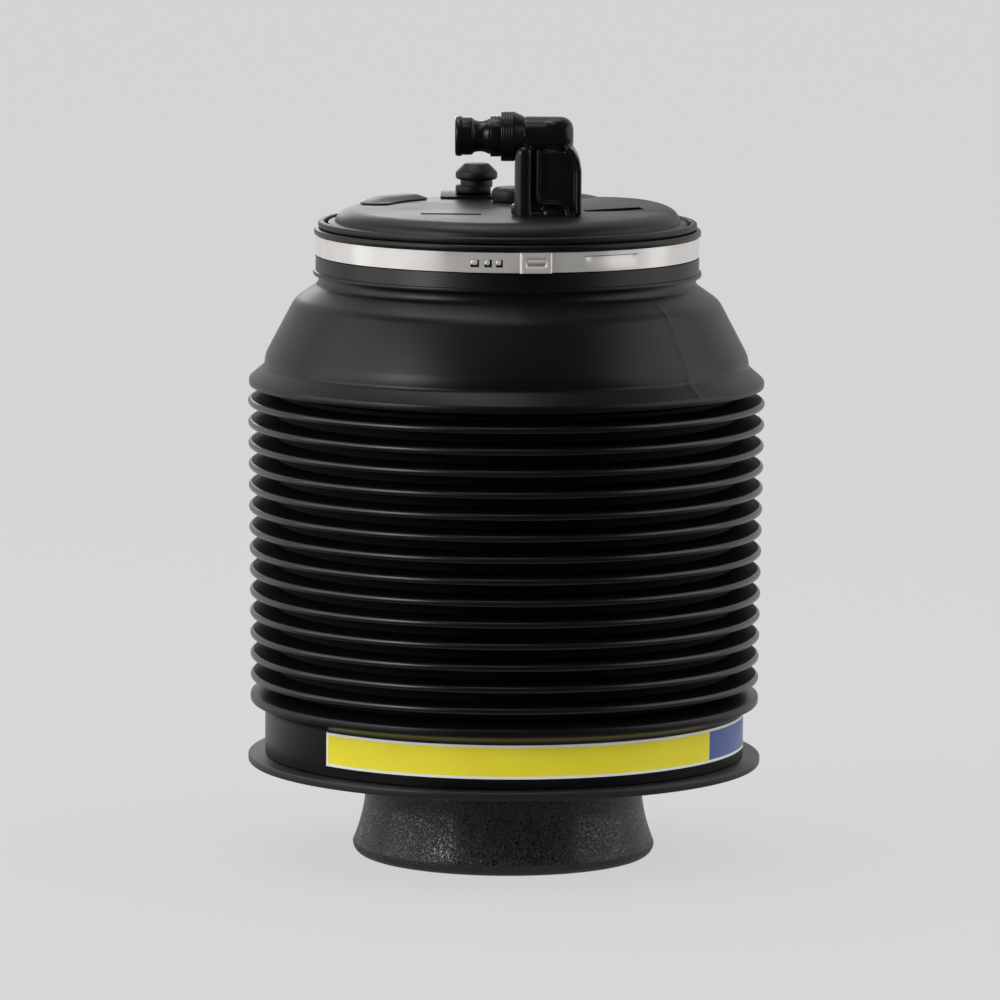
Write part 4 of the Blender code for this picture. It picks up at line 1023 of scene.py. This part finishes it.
class SPRING_OT_cap(bpy.types.Operator):
    """Add the cap with its rolled edge, two slots and the pads along its back"""
    bl_idname = "spring.cap"
    bl_label = "Top Cap"

    def execute(self, context):
        deck, bottom = high("top_cap").z, low("top_cap").z
        rim = high("top_cap").x
        side = rim - 2.6
        flat = side - 8.0
        crown = [(flat + 8.0 * math.sin(math.radians(6.0 * step)),
                  deck - 4.8 * (1.0 - math.cos(math.radians(6.0 * step)))) for step in range(15)]
        collar = side - 6.4
        profile = [
            (0.0, deck), *crown, (side, deck - 4.8, 0.3), (rim, deck - 4.8, 0.7),
            (rim, deck - 7.55, 0.4), (side, deck - 7.55, 0.3), (side, deck - 12.8),
            (side + 0.7, deck - 12.8, 0.3), (side + 0.7, deck - 17.0, 0.4),
            (collar, deck - 17.0, 0.4), (collar, bottom, 0.5),
            (collar - 3.5, bottom, 0.5), (collar - 3.5, deck - 8.4, 0.8),
            (collar - 7.7, deck - 4.2, 0.8), (0.0, deck - 4.2)]
        finish = finish_of("cap_plastic")
        dome = turned(profile)
        self.swell(dome, deck)
        cap = add_piece("cap_dome", dome, finish, UPPER, "black_plastic", "top_cap")
        for x, y, degrees in ((-20.7, -20.6, 0.0), (38.0, -2.0, 17.0)):
            slot = rounded_box((-11.0, -5.0, deck - 0.45), (11.0, 0.6, deck + 1.2), 0.15, 2)
            front = [v for v in slot.verts if v.co.y < -2.0 * MM and v.co.z < deck * MM]
            bmesh.ops.translate(slot, verts=front, vec=(0.0, 0.0, 0.43 * MM))
            cut_or_join(cap, moved(slot, (x, y, 0.0), round_axis(degrees)), "DIFFERENCE")
        self.crease_slots(cap, deck - 1.0, flat - 3.0)
        for name in ("deck_pad_1", "deck_pad_2"):
            self.add_pad(name, finish)
        return {"FINISHED"}

    def crease_slots(self, cap, floor, reach):
        """Keep the flat deck and the slots' walls and floors from shading into each other."""
        form = bmesh.new()
        form.from_mesh(cap.data)
        for face in form.faces:
            spot = face.calc_center_median() / MM
            if face.normal.z < 0.9999 and spot.z > floor and spot.to_2d().length < reach:
                for edge in face.edges:
                    edge.smooth = False
        form.to_mesh(cap.data)
        form.free()

    def swell(self, dome, deck):
        """Raise the crown a little along the back, right of the pads."""
        for vert in dome.verts:
            spot = vert.co / MM
            radius = math.hypot(spot.x, spot.y)
            if spot.z < deck - 4.4 or radius < 46.0:
                continue
            angle = math.degrees(math.atan2(spot.x, -spot.y))
            along = max(0.0, math.cos(math.radians((angle - 116.0) * 90.0 / 34.0))) \
                if abs(angle - 116.0) < 34.0 else 0.0
            outwards = min(1.0, (radius - 46.0) / 9.0)
            fade = min(1.0, max(0.0, spot.z - deck + 4.4) / 2.5)
            vert.co.z += 1.5 * along ** 0.6 * math.sin(outwards * math.pi / 2.0) ** 2 * fade * MM

    def add_pad(self, name, finish):
        """A flat pad with rounded ends, bent round the axis over its solid."""
        spots = [vert.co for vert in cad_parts[name].data.vertices]
        angles = [math.degrees(math.atan2(spot.x, -spot.y)) for spot in spots]
        angles = [angle % 360.0 for angle in angles]
        radii = [spot.to_2d().length / MM for spot in spots]
        inner, outer = min(radii), max(radii)
        first, last = min(angles), max(angles)
        length = math.radians(last - first) * (inner + outer) / 2.0
        form = bmesh.new()
        bmesh.ops.create_cube(form, size=MM)
        bmesh.ops.scale(form, verts=form.verts, vec=(length, outer - inner, high(name).z - low(name).z))
        bmesh.ops.translate(form, verts=form.verts,
                            vec=Vector((length, inner + outer, high(name).z + low(name).z)) * MM / 2.0)
        upright = [edge for edge in form.edges
                   if abs((edge.verts[1].co - edge.verts[0].co).z) > MM]
        bmesh.ops.bevel(form, geom=upright, offset=4.5 * MM, affect="EDGES", segments=6,
                        profile=0.5, material=-1)
        for step in range(1, 24):
            bmesh.ops.bisect_plane(form, geom=form.verts[:] + form.edges[:] + form.faces[:],
                                   dist=WELD, plane_no=(1.0, 0.0, 0.0),
                                   plane_co=(length * step / 24.0 * MM, 0.0, 0.0))
        for across in (0.4, 0.9, 1.6, 2.5, 3.6, 5.0, outer - inner - 1.4, outer - inner - 0.5):
            bmesh.ops.bisect_plane(form, geom=form.verts[:] + form.edges[:] + form.faces[:],
                                   dist=WELD, plane_no=(0.0, 1.0, 0.0),
                                   plane_co=(0.0, (inner + across) * MM, 0.0))
        base = low(name).z * MM
        tapers = [4.5, 16.0]
        if abs(math.sin(math.radians(first))) > abs(math.sin(math.radians(last))):
            tapers.reverse()
        for vert in form.verts:
            along = vert.co.x / MM
            across = vert.co.y / MM
            share = min(1.0, along / tapers[0], (length - along) / tapers[1])
            slope = min(1.0, (across - inner) / 8.5, (outer - across) / 2.6)
            rise = math.sin(max(0.0, share) * math.pi / 2.0) * \
                math.sin(max(0.0, slope) * math.pi / 2.0)
            vert.co.z = base + (vert.co.z - base) * (0.12 + 0.88 * rise)
            angle = math.radians(first + vert.co.x / MM / length * (last - first))
            radius = vert.co.y
            vert.co.x, vert.co.y = math.sin(angle) * radius, -math.cos(angle) * radius
        piece = tidied(form)
        add_piece(name.replace("deck_pad", "rear_pad"), piece, finish, UPPER,
                  "black_plastic", name)


class SPRING_OT_stud(bpy.types.Operator):
    """Add the plate and the rubber mushroom that locates the spring in the car's body"""
    bl_idname = "spring.stud"
    bl_label = "Locating Stud"

    def execute(self, context):
        plate = bmesh.new()
        bmesh.ops.create_cube(plate, size=MM)
        bmesh.ops.scale(plate, verts=plate.verts, vec=high("stud_plate") - low("stud_plate"))
        moved(plate, middle("stud_plate"))
        plate_low, plate_top = low("stud_plate"), high("stud_plate").z
        bmesh.ops.bisect_plane(plate, geom=plate.verts[:] + plate.edges[:] + plate.faces[:],
                               dist=WELD, plane_no=(0.0, 1.0, 0.0),
                               plane_co=(0.0, (plate_low.y + 6.0) * MM, 0.0))
        for vert in plate.verts:
            if vert.co.y < (plate_low.y + 1.0) * MM and vert.co.z > (plate_top - 0.1) * MM:
                vert.co.z = (plate_low.z + 0.5) * MM
        add_piece("stud_base", plate, finish_of("cap_plastic"), UPPER, "black_plastic",
                  "stud_plate")
        centre = middle("locating_stud")
        base = low("locating_stud").z
        head = turned([
            (0.0, base + 10.7), (4.5, base + 10.7, 0.5), (7.8, base + 7.4, 0.6),
            (7.8, base + 5.1, 0.6), (6.4, base + 4.6, 0.4), (6.0, base + 4.6), (6.0, base + 2.0),
            (0.0, base + 2.0)],
            SMALL_STEPS)
        disc = turned([(0.0, base + 2.7), (6.6, base + 2.7, 0.8), (6.6, base, 0.2), (0.0, base)],
                      SMALL_STEPS)
        moved(disc, (-1.2, 0.0, 0.0))
        add_piece("stud_mushroom", moved(joined(head, disc), (centre.x, centre.y, 0.0)),
                  finish_of("stud_rubber"), UPPER, "seal_rubber", "locating_stud")
        return {"FINISHED"}


class SPRING_OT_plug(bpy.types.Operator):
    """Add the round plug in the deck"""
    bl_idname = "spring.plug"
    bl_label = "Deck Plug"

    def execute(self, context):
        centre = middle("port_plug")
        top, bottom = high("port_plug").z, low("port_plug").z
        radius = (high("port_plug").x - low("port_plug").x) / 2.0
        profile = [(0.0, top), (radius, top, 2.2), (radius, top - 5.0, 0.4),
                   (radius - 3.5, top - 5.0, 0.2), (radius - 3.5, bottom, 0.5), (0.0, bottom)]
        add_piece("blanking_plug", moved(turned(profile, SMALL_STEPS), (centre.x, centre.y, 0.0)),
                  finish_of("stud_rubber"), UPPER, "seal_rubber", "port_plug")
        return {"FINISHED"}


def along_tube(form, drop=0.0):
    """Lay a turned mesh along the connector: its Z runs from the barrel's axis towards -X."""
    turn = Matrix.Rotation(-math.pi / 2.0, 4, "Y")
    axis = middle("release_collar")
    barrel = high("connector_nut").x + 10.7
    return moved(form, (barrel, axis.y, axis.z - drop), turn)


class SPRING_OT_elbow(bpy.types.Operator):
    """Add the elbow fitting: post with its rib, lip, recess and shelf, barrel and tube"""
    bl_idname = "spring.elbow"
    bl_label = "Elbow Fitting"

    def execute(self, context):
        tube_axis = middle("release_collar")
        x = high("connector_nut").x + 10.7
        y, deck = tube_axis.y, high("top_cap").z + 0.3
        right = high("elbow_fitting").x
        left = right - 24.3
        front, back = low("elbow_fitting").y, high("elbow_fitting").y
        finish = finish_of("fitting_plastic")
        lip_top = deck + 18.5
        core = self.slab([
            (left + 1.0, deck), (right - 0.4, deck), (right - 0.4, lip_top - 2.0),
            (right - 1.6, lip_top + 2.2), (right - 4.4, lip_top + 4.6),
            (left + 5.0, lip_top + 4.6), (left + 1.0, lip_top)],
            front + 3.6, back - 0.4, 0.7)
        elbow = add_piece("elbow_body", core, finish, UPPER, "black_plastic", "elbow_fitting")
        rib = rounded_box((left, front, deck - 3.8), (left + 6.9, back, deck + 25.3), 3.35, 8)
        ridge = self.bar([
            (left + 8.4, deck + 24.0), (left + 8.4, deck + 12.0), (left + 8.4, deck + 5.6),
            (left + 9.6, deck + 4.3), (left + 12.0, deck + 4.2), (left + 15.6, deck + 4.2),
            (left + 18.6, deck + 3.6), (left + 19.8, deck + 1.8), (left + 20.0, deck - 0.5)],
            front + 2.1, 0.85)
        lip = self.slab([
            (right - 2.3, deck), (right, deck), (right, lip_top - 2.0), (right - 0.9, lip_top + 2.0),
            (right - 2.7, lip_top + 5.2), (right - 5.4, lip_top + 7.2), (right - 6.4, lip_top + 5.6),
            (right - 4.0, lip_top + 2.6), (right - 2.3, lip_top - 2.4)], front, back, 0.9)
        shelf = rounded_box((left + 9.6, front + 0.8, deck - 3.0), (left + 19.4, front + 9.0,
                            deck + 3.0), 2.8, 8)
        ledge = rounded_box((left + 5.0, front + 1.2, deck - 2.0), (right - 1.5, front + 7.0,
                            deck + 1.2), 1.2, 6)
        toe = rounded_box((left - 1.2, front + 3.0, deck), (left + 1.0, front + 9.0,
                          deck + 3.5), 0.7, 3)
        barrel = turned([
            (0.0, tube_axis.z + 6.5), (6.6, tube_axis.z + 6.5, 3.4), (6.6, deck + 1.0),
            (0.0, deck + 1.0)], SMALL_STEPS)
        moved(barrel, (x, y, 0.0))
        wide = turned([(0.0, tube_axis.z - 5.2), (7.3, tube_axis.z - 5.2, 0.8),
                       (7.3, deck + 0.5), (0.0, deck + 0.5)], SMALL_STEPS)
        moved(wide, (x, y, 0.0))
        tube = turned([(0.0, -7.3), (7.3, -7.3, 4.6), (7.3, 10.66), (6.1, 10.66), (6.1, 14.2),
                       (5.3, 14.2), (5.3, 13.0), (3.2, 13.0), (3.2, 0.0), (0.0, 0.0)][::-1],
                      SMALL_STEPS)
        along_tube(tube)
        spigot = turned([(0.0, deck + 1.0), (6.0, deck + 1.0), (6.0, deck - 7.3, 0.5),
                         (3.2, deck - 7.3, 0.3), (3.2, deck - 1.0), (0.0, deck - 1.0)][::-1],
                        SMALL_STEPS)
        moved(spigot, (x, y, 0.0))
        for form in (rib, ridge, lip, shelf, ledge, toe, barrel, wide, tube, spigot):
            cut_or_join(elbow, form, "UNION")
        nut_room = turned([(9.5, 10.66), (9.5, 20.0), (6.1, 20.0), (6.1, 10.66)], SMALL_STEPS)
        cut_or_join(elbow, along_tube(nut_room), "DIFFERENCE")
        even = elbow.modifiers.new("even", "REMESH")
        even.mode = "VOXEL"
        even.voxel_size = 0.32 * MM
        soft = elbow.modifiers.new("soft", "SMOOTH")
        soft.factor, soft.iterations = 0.5, 5
        apply_modifiers(elbow)
        return {"FINISHED"}

    def bar(self, route, y, radius):
        """A round bar along (x, z) points in a plane across Y."""
        curve = bpy.data.curves.new("bar", "CURVE")
        curve.dimensions = "3D"
        curve.bevel_depth, curve.bevel_resolution = radius * MM, 3
        curve.use_fill_caps = True
        spline = curve.splines.new("NURBS")
        spline.points.add(len(route) - 1)
        for point, (x, z) in zip(spline.points, route):
            point.co = (x * MM, y * MM, z * MM, 1.0)
        spline.order_u, spline.use_endpoint_u, spline.resolution_u = 3, True, 6
        holder = bpy.data.objects.new("bar", curve)
        bpy.context.scene.collection.objects.link(holder)
        shown = holder.evaluated_get(bpy.context.evaluated_depsgraph_get())
        form = bmesh.new()
        form.from_mesh(shown.to_mesh())
        shown.to_mesh_clear()
        bmesh.ops.scale(form, verts=form.verts, vec=(1.0, 2.4, 1.0),
                        space=Matrix.Translation((0.0, -y * MM, 0.0)))
        bpy.data.objects.remove(holder)
        bpy.data.curves.remove(curve)
        return tidied(form)

    def slab(self, outline, front, back, reach):
        """An upright plate from its outline seen from the front, with rounded rims."""
        form = bmesh.new()
        face = form.faces.new([form.verts.new((x * MM, front * MM, z * MM)) for x, z in outline])
        swept = bmesh.ops.extrude_face_region(form, geom=[face])
        far = [item for item in swept["geom"] if isinstance(item, bmesh.types.BMVert)]
        bmesh.ops.translate(form, verts=far, vec=(0.0, (back - front) * MM, 0.0))
        bmesh.ops.recalc_face_normals(form, faces=form.faces)
        bmesh.ops.bevel(form, geom=form.edges[:], offset=reach * MM, affect="EDGES", segments=3,
                        profile=0.5, material=-1)
        return form


class SPRING_OT_connector(bpy.types.Operator):
    """Add the connector's nut, release collar and transit plug"""
    bl_idname = "spring.connector"
    bl_label = "Connector"

    def execute(self, context):
        finish = finish_of("fitting_plastic")
        nut = [(9.1, 19.1, 0.5)]
        for groove in (18.3, 17.3, 16.3, 15.3):
            nut += [(9.1, groove + 0.3, 0.1), (8.95, groove, 0.15), (9.1, groove - 0.3, 0.1)]
        nut += [(9.1, 14.6, 1.2), (7.9, 11.9, 1.2), (7.35, 10.7, 0.2), (6.4, 10.7), (6.4, 14.6), (3.3, 14.6),
                (3.3, 15.6), (7.7, 15.6), (7.7, 19.1, 0.3)]
        add_piece("swivel_nut", along_tube(turned(nut, SMALL_STEPS)), finish, UPPER,
                  "black_plastic", "connector_nut")
        collar = [(7.4, 22.96, 0.25), (7.4, 17.4, 0.3), (3.2, 17.4, 0.3), (3.2, 22.45),
                  (6.6, 22.45), (6.6, 22.96, 0.1)]
        add_piece("push_collar", along_tube(turned(collar, SMALL_STEPS)), finish, "collar",
                  "black_plastic", "release_collar")
        start = 23.0
        plug = [
            (0.0, start + 12.8), (7.3, start + 12.8, 1.1), (7.3, start + 10.2, 0.5),
            (6.85, start + 10.2, 0.2), (6.85, start + 6.6, 0.5), (5.9, start + 5.9, 0.5),
            (5.45, start + 4.1, 1.2), (5.7, start + 2.2, 0.9), (6.5, start + 0.4, 0.4),
            (6.5, start - 0.45), (2.8, start - 0.45), (2.8, start - 13.0, 0.6), (0.0, start - 13.0)]
        add_piece("shipping_plug", along_tube(turned(plug, SMALL_STEPS)), finish, "plug",
                  "black_plastic", "transit_plug")
        return {"FINISHED"}


# What is hidden inside


class SPRING_OT_sleeve(bpy.types.Operator):
    """Add the rolling-lobe air sleeve"""
    bl_idname = "spring.sleeve"
    bl_label = "Air Sleeve"

    def execute(self, context):
        bottom, top = low("air_sleeve").z, high("air_sleeve").z
        bulge = high("air_sleeve").x - 1.0
        collar, leg, neck = bulge - 2.7, bulge - 9.2, bulge - 19.7
        lobe = (bulge - leg) / 2.0
        lobe_height = bottom + 1.0 + lobe
        shoulder = high("piston").z - 14.5
        path = [(collar, top), (collar, low("top_cap").z + 1.0, 3.0),
                (bulge, low("top_cap").z - 2.0, 3.0)]
        path += [(leg + lobe + lobe * math.cos(math.radians(15.0 * step)),
                  lobe_height - lobe * math.sin(math.radians(15.0 * step)))
                 for step in range(13)]
        path += [(leg, shoulder - 6.0, 3.0), (neck, shoulder + 1.0, 3.0),
                 (neck, high("piston").z - 0.6)]
        form = bmesh.new()
        points = [form.verts.new((point[0] * MM, 0.0, point[1] * MM)) for point in path]
        for pair in zip(points, points[1:]):
            form.edges.new(pair)
        bends = [vert for vert, point in zip(points, path) if len(point) > 2]
        bmesh.ops.bevel(form, geom=bends, offset=2.4 * MM, affect="VERTICES", segments=4,
                        profile=0.5, material=-1)
        bmesh.ops.spin(form, geom=form.verts[:] + form.edges[:], cent=(0.0, 0.0, 0.0), axis=UP,
                       dvec=(0.0, 0.0, 0.0), angle=math.tau, steps=ROUND_STEPS, use_merge=True)
        bmesh.ops.recalc_face_normals(form, faces=form.faces)
        sleeve = add_piece("rolling_sleeve", form, finish_of("sleeve_cords"), UPPER,
                           "sleeve_rubber", "air_sleeve")
        wall = sleeve.modifiers.new("wall", "SOLIDIFY")
        wall.thickness = 1.9 * MM
        wall.offset = 0.0
        apply_modifiers(sleeve)
        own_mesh(sleeve)
        return {"FINISHED"}


class SPRING_OT_buffer(bpy.types.Operator):
    """Add the foam buffer that hangs under the cap"""
    bl_idname = "spring.buffer"
    bl_label = "Buffer"

    def execute(self, context):
        top, bottom = high("bump_stop").z, low("bump_stop").z
        height = top - bottom
        radius = high("bump_stop").x
        profile = [
            (radius, top, 1.5), (radius, top - height * 0.4, 2.5),
            (radius - 3.0, top - height * 0.5, 2.5), (radius, top - height * 0.6, 3.0),
            (radius - 3.0, bottom, 2.5), (7.3, bottom, 0.8), (7.3, bottom + 5.6, 0.5),
            (4.3, bottom + 5.6, 0.3), (4.3, top, 0.5)]
        buffer = add_piece("foam_buffer", turned(profile, SMALL_STEPS),
                           finish_of("buffer_foam"), UPPER, "bump_foam", "bump_stop")
        return {"FINISHED"}


class SPRING_OT_hardware(bpy.types.Operator):
    """Finish the rings, seals, cup and bolt that keep their solids"""
    bl_idname = "spring.hardware"
    bl_label = "Inner Hardware"

    def execute(self, context):
        finishes = {
            "upper_crimp_ring": "zinc_steel", "lower_crimp_ring": "zinc_steel",
            "carrier_lock_ring": "zinc_steel", "bump_stop_cup": "zinc_steel",
            "bump_stop_bolt": "zinc_steel", "elbow_seal": "stud_rubber",
            "connector_seal": "stud_rubber"}
        for name, finish in finishes.items():
            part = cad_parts[name]
            for place in part.material_slots:
                place.link = "OBJECT"
                place.material = finish_of(finish)
        return {"FINISHED"}


# The studio


def add_light(name, place, target, size, power):
    """A soft rectangular lamp that faces a point. Its size is in metres, its power in watts."""
    lamp = bpy.data.lights.new(name, "AREA")
    lamp.shape = "RECTANGLE"
    lamp.size, lamp.size_y = size
    lamp.energy = power
    made = bpy.data.objects.new(name, lamp)
    bpy.context.scene.collection.objects.link(made)
    made.location = place
    made.rotation_euler = (Vector(target) - Vector(place)).to_track_quat("-Z", "Y").to_euler()
    made.visible_camera = False
    return made


class SPRING_OT_studio(bpy.types.Operator):
    """Add the pale floor, the soft lights and the camera"""
    bl_idname = "spring.studio"
    bl_label = "Studio"

    def execute(self, context):
        settings = context.scene.spring_studio
        context.scene.view_settings.view_transform = "Standard"
        pale = (*settings.backdrop, 1.0)
        self.add_world(context.scene, pale)
        self.add_floor(pale)
        add_light("left_box", (-1.5, -0.5, 0.7), (0.0, 0.0, 0.3), (2.1, 1.5), 12.0)
        add_light("right_box", (1.6, -0.12, 0.75), (0.0, 0.0, 0.3), (1.6, 1.5), 6.8)
        add_light("top_box", (-0.35, 0.35, 1.7), (0.0, 0.0, 0.15), (0.8, 0.8), 4.0)
        add_light("rear_box", (-0.12, 0.5, 0.345), (-0.04, 0.0, 0.24), (0.24, 0.1), 0.3)
        add_light("front_box", (-0.1, -0.4, 1.6), (0.0, 0.0, 0.25), (0.6, 0.35), 0.9)
        add_light("key_box", (-1.18, -0.92, 0.84), (0.0, 0.0, 0.1), (0.45, 0.6), 3.4)
        self.add_camera(context.scene, settings)
        return {"FINISHED"}

    def add_world(self, scene, pale):
        """Pale where the camera sees it, pale in reflections behind the spring, dim in front."""
        world = bpy.data.worlds.new("studio")
        scene.world = world
        world.use_nodes = True
        tree = world.node_tree
        back = tree.nodes["Background"]
        back.inputs["Color"].default_value = pale
        path = node(tree, "ShaderNodeLightPath")
        way = node(tree, "ShaderNodeSeparateXYZ")
        wire(tree, node(tree, "ShaderNodeTexCoord").outputs["Generated"], way.inputs[0])
        side = ranged(tree, way.outputs["X"], -0.4, 0.4, 0.95, 0.85)
        mirrored = math_node(tree, "MULTIPLY",
                             ranged(tree, way.outputs["Y"], 0.1, 0.6, 0.03, 1.0), side)
        fill = math_node(tree, "MULTIPLY", path.outputs["Is Diffuse Ray"], 1.7)
        seen = math_node(tree, "MAXIMUM", path.outputs["Is Camera Ray"],
                         math_node(tree, "MULTIPLY", path.outputs["Is Glossy Ray"], mirrored))
        wire(tree, math_node(tree, "MAXIMUM", seen, fill), back.inputs["Strength"])

    def add_floor(self, pale):
        """A wide pale floor: mostly even to the camera, and shaded by the spring. To every other ray it is
        near-black, which paints shade under the spring, and in reflections it glows behind the spring and,
        as a painted reflection, close round its foot.
        """
        form = bmesh.new()
        bmesh.ops.create_grid(form, x_segments=1, y_segments=1, size=15.0)
        mesh = bpy.data.meshes.new("floor")
        form.to_mesh(mesh)
        form.free()
        floor = bpy.data.objects.new("floor", mesh)
        bpy.context.scene.collection.objects.link(floor)
        made = bpy.data.materials.new("pale_floor")
        made.use_nodes = True
        tree = made.node_tree
        tree.nodes.clear()
        path = node(tree, "ShaderNodeLightPath")
        seen = path.outputs["Is Camera Ray"]
        place = node(tree, "ShaderNodeSeparateXYZ")
        wire(tree, node(tree, "ShaderNodeTexCoord").outputs["Object"], place.inputs[0])
        behind = ranged(tree, place.outputs["Y"], -0.08, 0.27, 0.0, 1.0)
        centre = node(tree, "ShaderNodeVectorMath", operation="LENGTH")
        wire(tree, node(tree, "ShaderNodeTexCoord").outputs["Object"], centre.inputs[0])
        # Painted reflection: to glossy rays the floor glows within about 0.2 m of the spring's axis.
        near = ranged(tree, centre.outputs["Value"], 0.14, 0.22, 0.35, 0.0)
        mirrored = math_node(tree, "MULTIPLY", path.outputs["Is Glossy Ray"],
                             math_node(tree, "MAXIMUM", behind, near))
        tone = node(tree, "ShaderNodeMix", data_type="RGBA")
        # Near-black to every ray but the camera's: painted shade in the spring's undersides and in what it
        # reflects of the floor.
        tone.inputs["A"].default_value = (0.03, 0.03, 0.03, 1.0)
        tone.inputs["B"].default_value = pale
        wire(tree, seen, tone.inputs["Factor"])
        paint = node(tree, "ShaderNodeBsdfDiffuse")
        wire(tree, tone.outputs["Result"], paint.inputs["Color"])
        even = node(tree, "ShaderNodeEmission", Color=pale)
        mix = node(tree, "ShaderNodeMixShader")
        wire(tree, math_node(tree, "MAXIMUM", mirrored, math_node(tree, "MULTIPLY", seen, 0.9)),
             mix.inputs["Fac"])
        wire(tree, paint.outputs[0], mix.inputs[1])
        wire(tree, even.outputs[0], mix.inputs[2])
        out = node(tree, "ShaderNodeOutputMaterial")
        wire(tree, mix.outputs[0], out.inputs["Surface"])
        mesh.materials.append(made)

    def add_camera(self, scene, settings):
        """A long lens from the front, looking a little down."""
        data = bpy.data.cameras.new("camera")
        data.sensor_width = 36.0
        data.lens = settings.lens
        data.clip_start, data.clip_end = 0.05, 60.0
        camera = bpy.data.objects.new("camera", data)
        scene.collection.objects.link(camera)
        camera.location = (-0.0021, -settings.distance, settings.height)
        look = Matrix.Rotation(math.pi / 2.0 - settings.pitch, 4, "X")
        camera.rotation_euler = (look @ Matrix.Rotation(settings.roll, 4, "Z")).to_euler()
        scene.camera = camera


class SPRING_PT_panel(bpy.types.Panel):
    """Lists the spring's pieces"""
    bl_idname = "SPRING_PT_panel"
    bl_label = "Air Spring"
    bl_space_type = "VIEW_3D"
    bl_region_type = "UI"
    bl_category = "Air Spring"

    def draw(self, context):
        for operator in OPERATORS:
            self.layout.operator(operator.bl_idname)
        for name in GROUPS:
            settings = getattr(context.scene, name)
            for key in settings.__annotations__:
                self.layout.prop(settings, key)


GROUPS = {
    "spring_boot": BootSizes, "spring_clamp": ClampSizes, "spring_foot": FootSizes,
    "spring_colours": FinishColours, "spring_studio": StudioSettings}
OPERATORS = (
    SPRING_OT_finishes, SPRING_OT_piston, SPRING_OT_carrier, SPRING_OT_cuff, SPRING_OT_label,
    SPRING_OT_bellows, SPRING_OT_shoulder, SPRING_OT_clamp, SPRING_OT_ring, SPRING_OT_cap,
    SPRING_OT_stud, SPRING_OT_plug, SPRING_OT_elbow, SPRING_OT_connector, SPRING_OT_sleeve,
    SPRING_OT_buffer, SPRING_OT_hardware, SPRING_OT_studio)


def register():
    """Register the settings, operators and panel."""
    for cls in (*GROUPS.values(), *OPERATORS, SPRING_PT_panel):
        bpy.utils.register_class(cls)
    for name, cls in GROUPS.items():
        setattr(bpy.types.Scene, name, PointerProperty(type=cls))


def unregister():
    """Take the settings, operators and panel out again."""
    for name in GROUPS:
        delattr(bpy.types.Scene, name)
    for cls in (SPRING_PT_panel, *reversed(OPERATORS), *reversed(GROUPS.values())):
        bpy.utils.unregister_class(cls)


def main():
    """Build everything in order."""
    register()
    for operator in OPERATORS:
        getattr(bpy.ops.spring, operator.bl_idname.split(".")[1])()


if __name__ == "__main__":
    main()
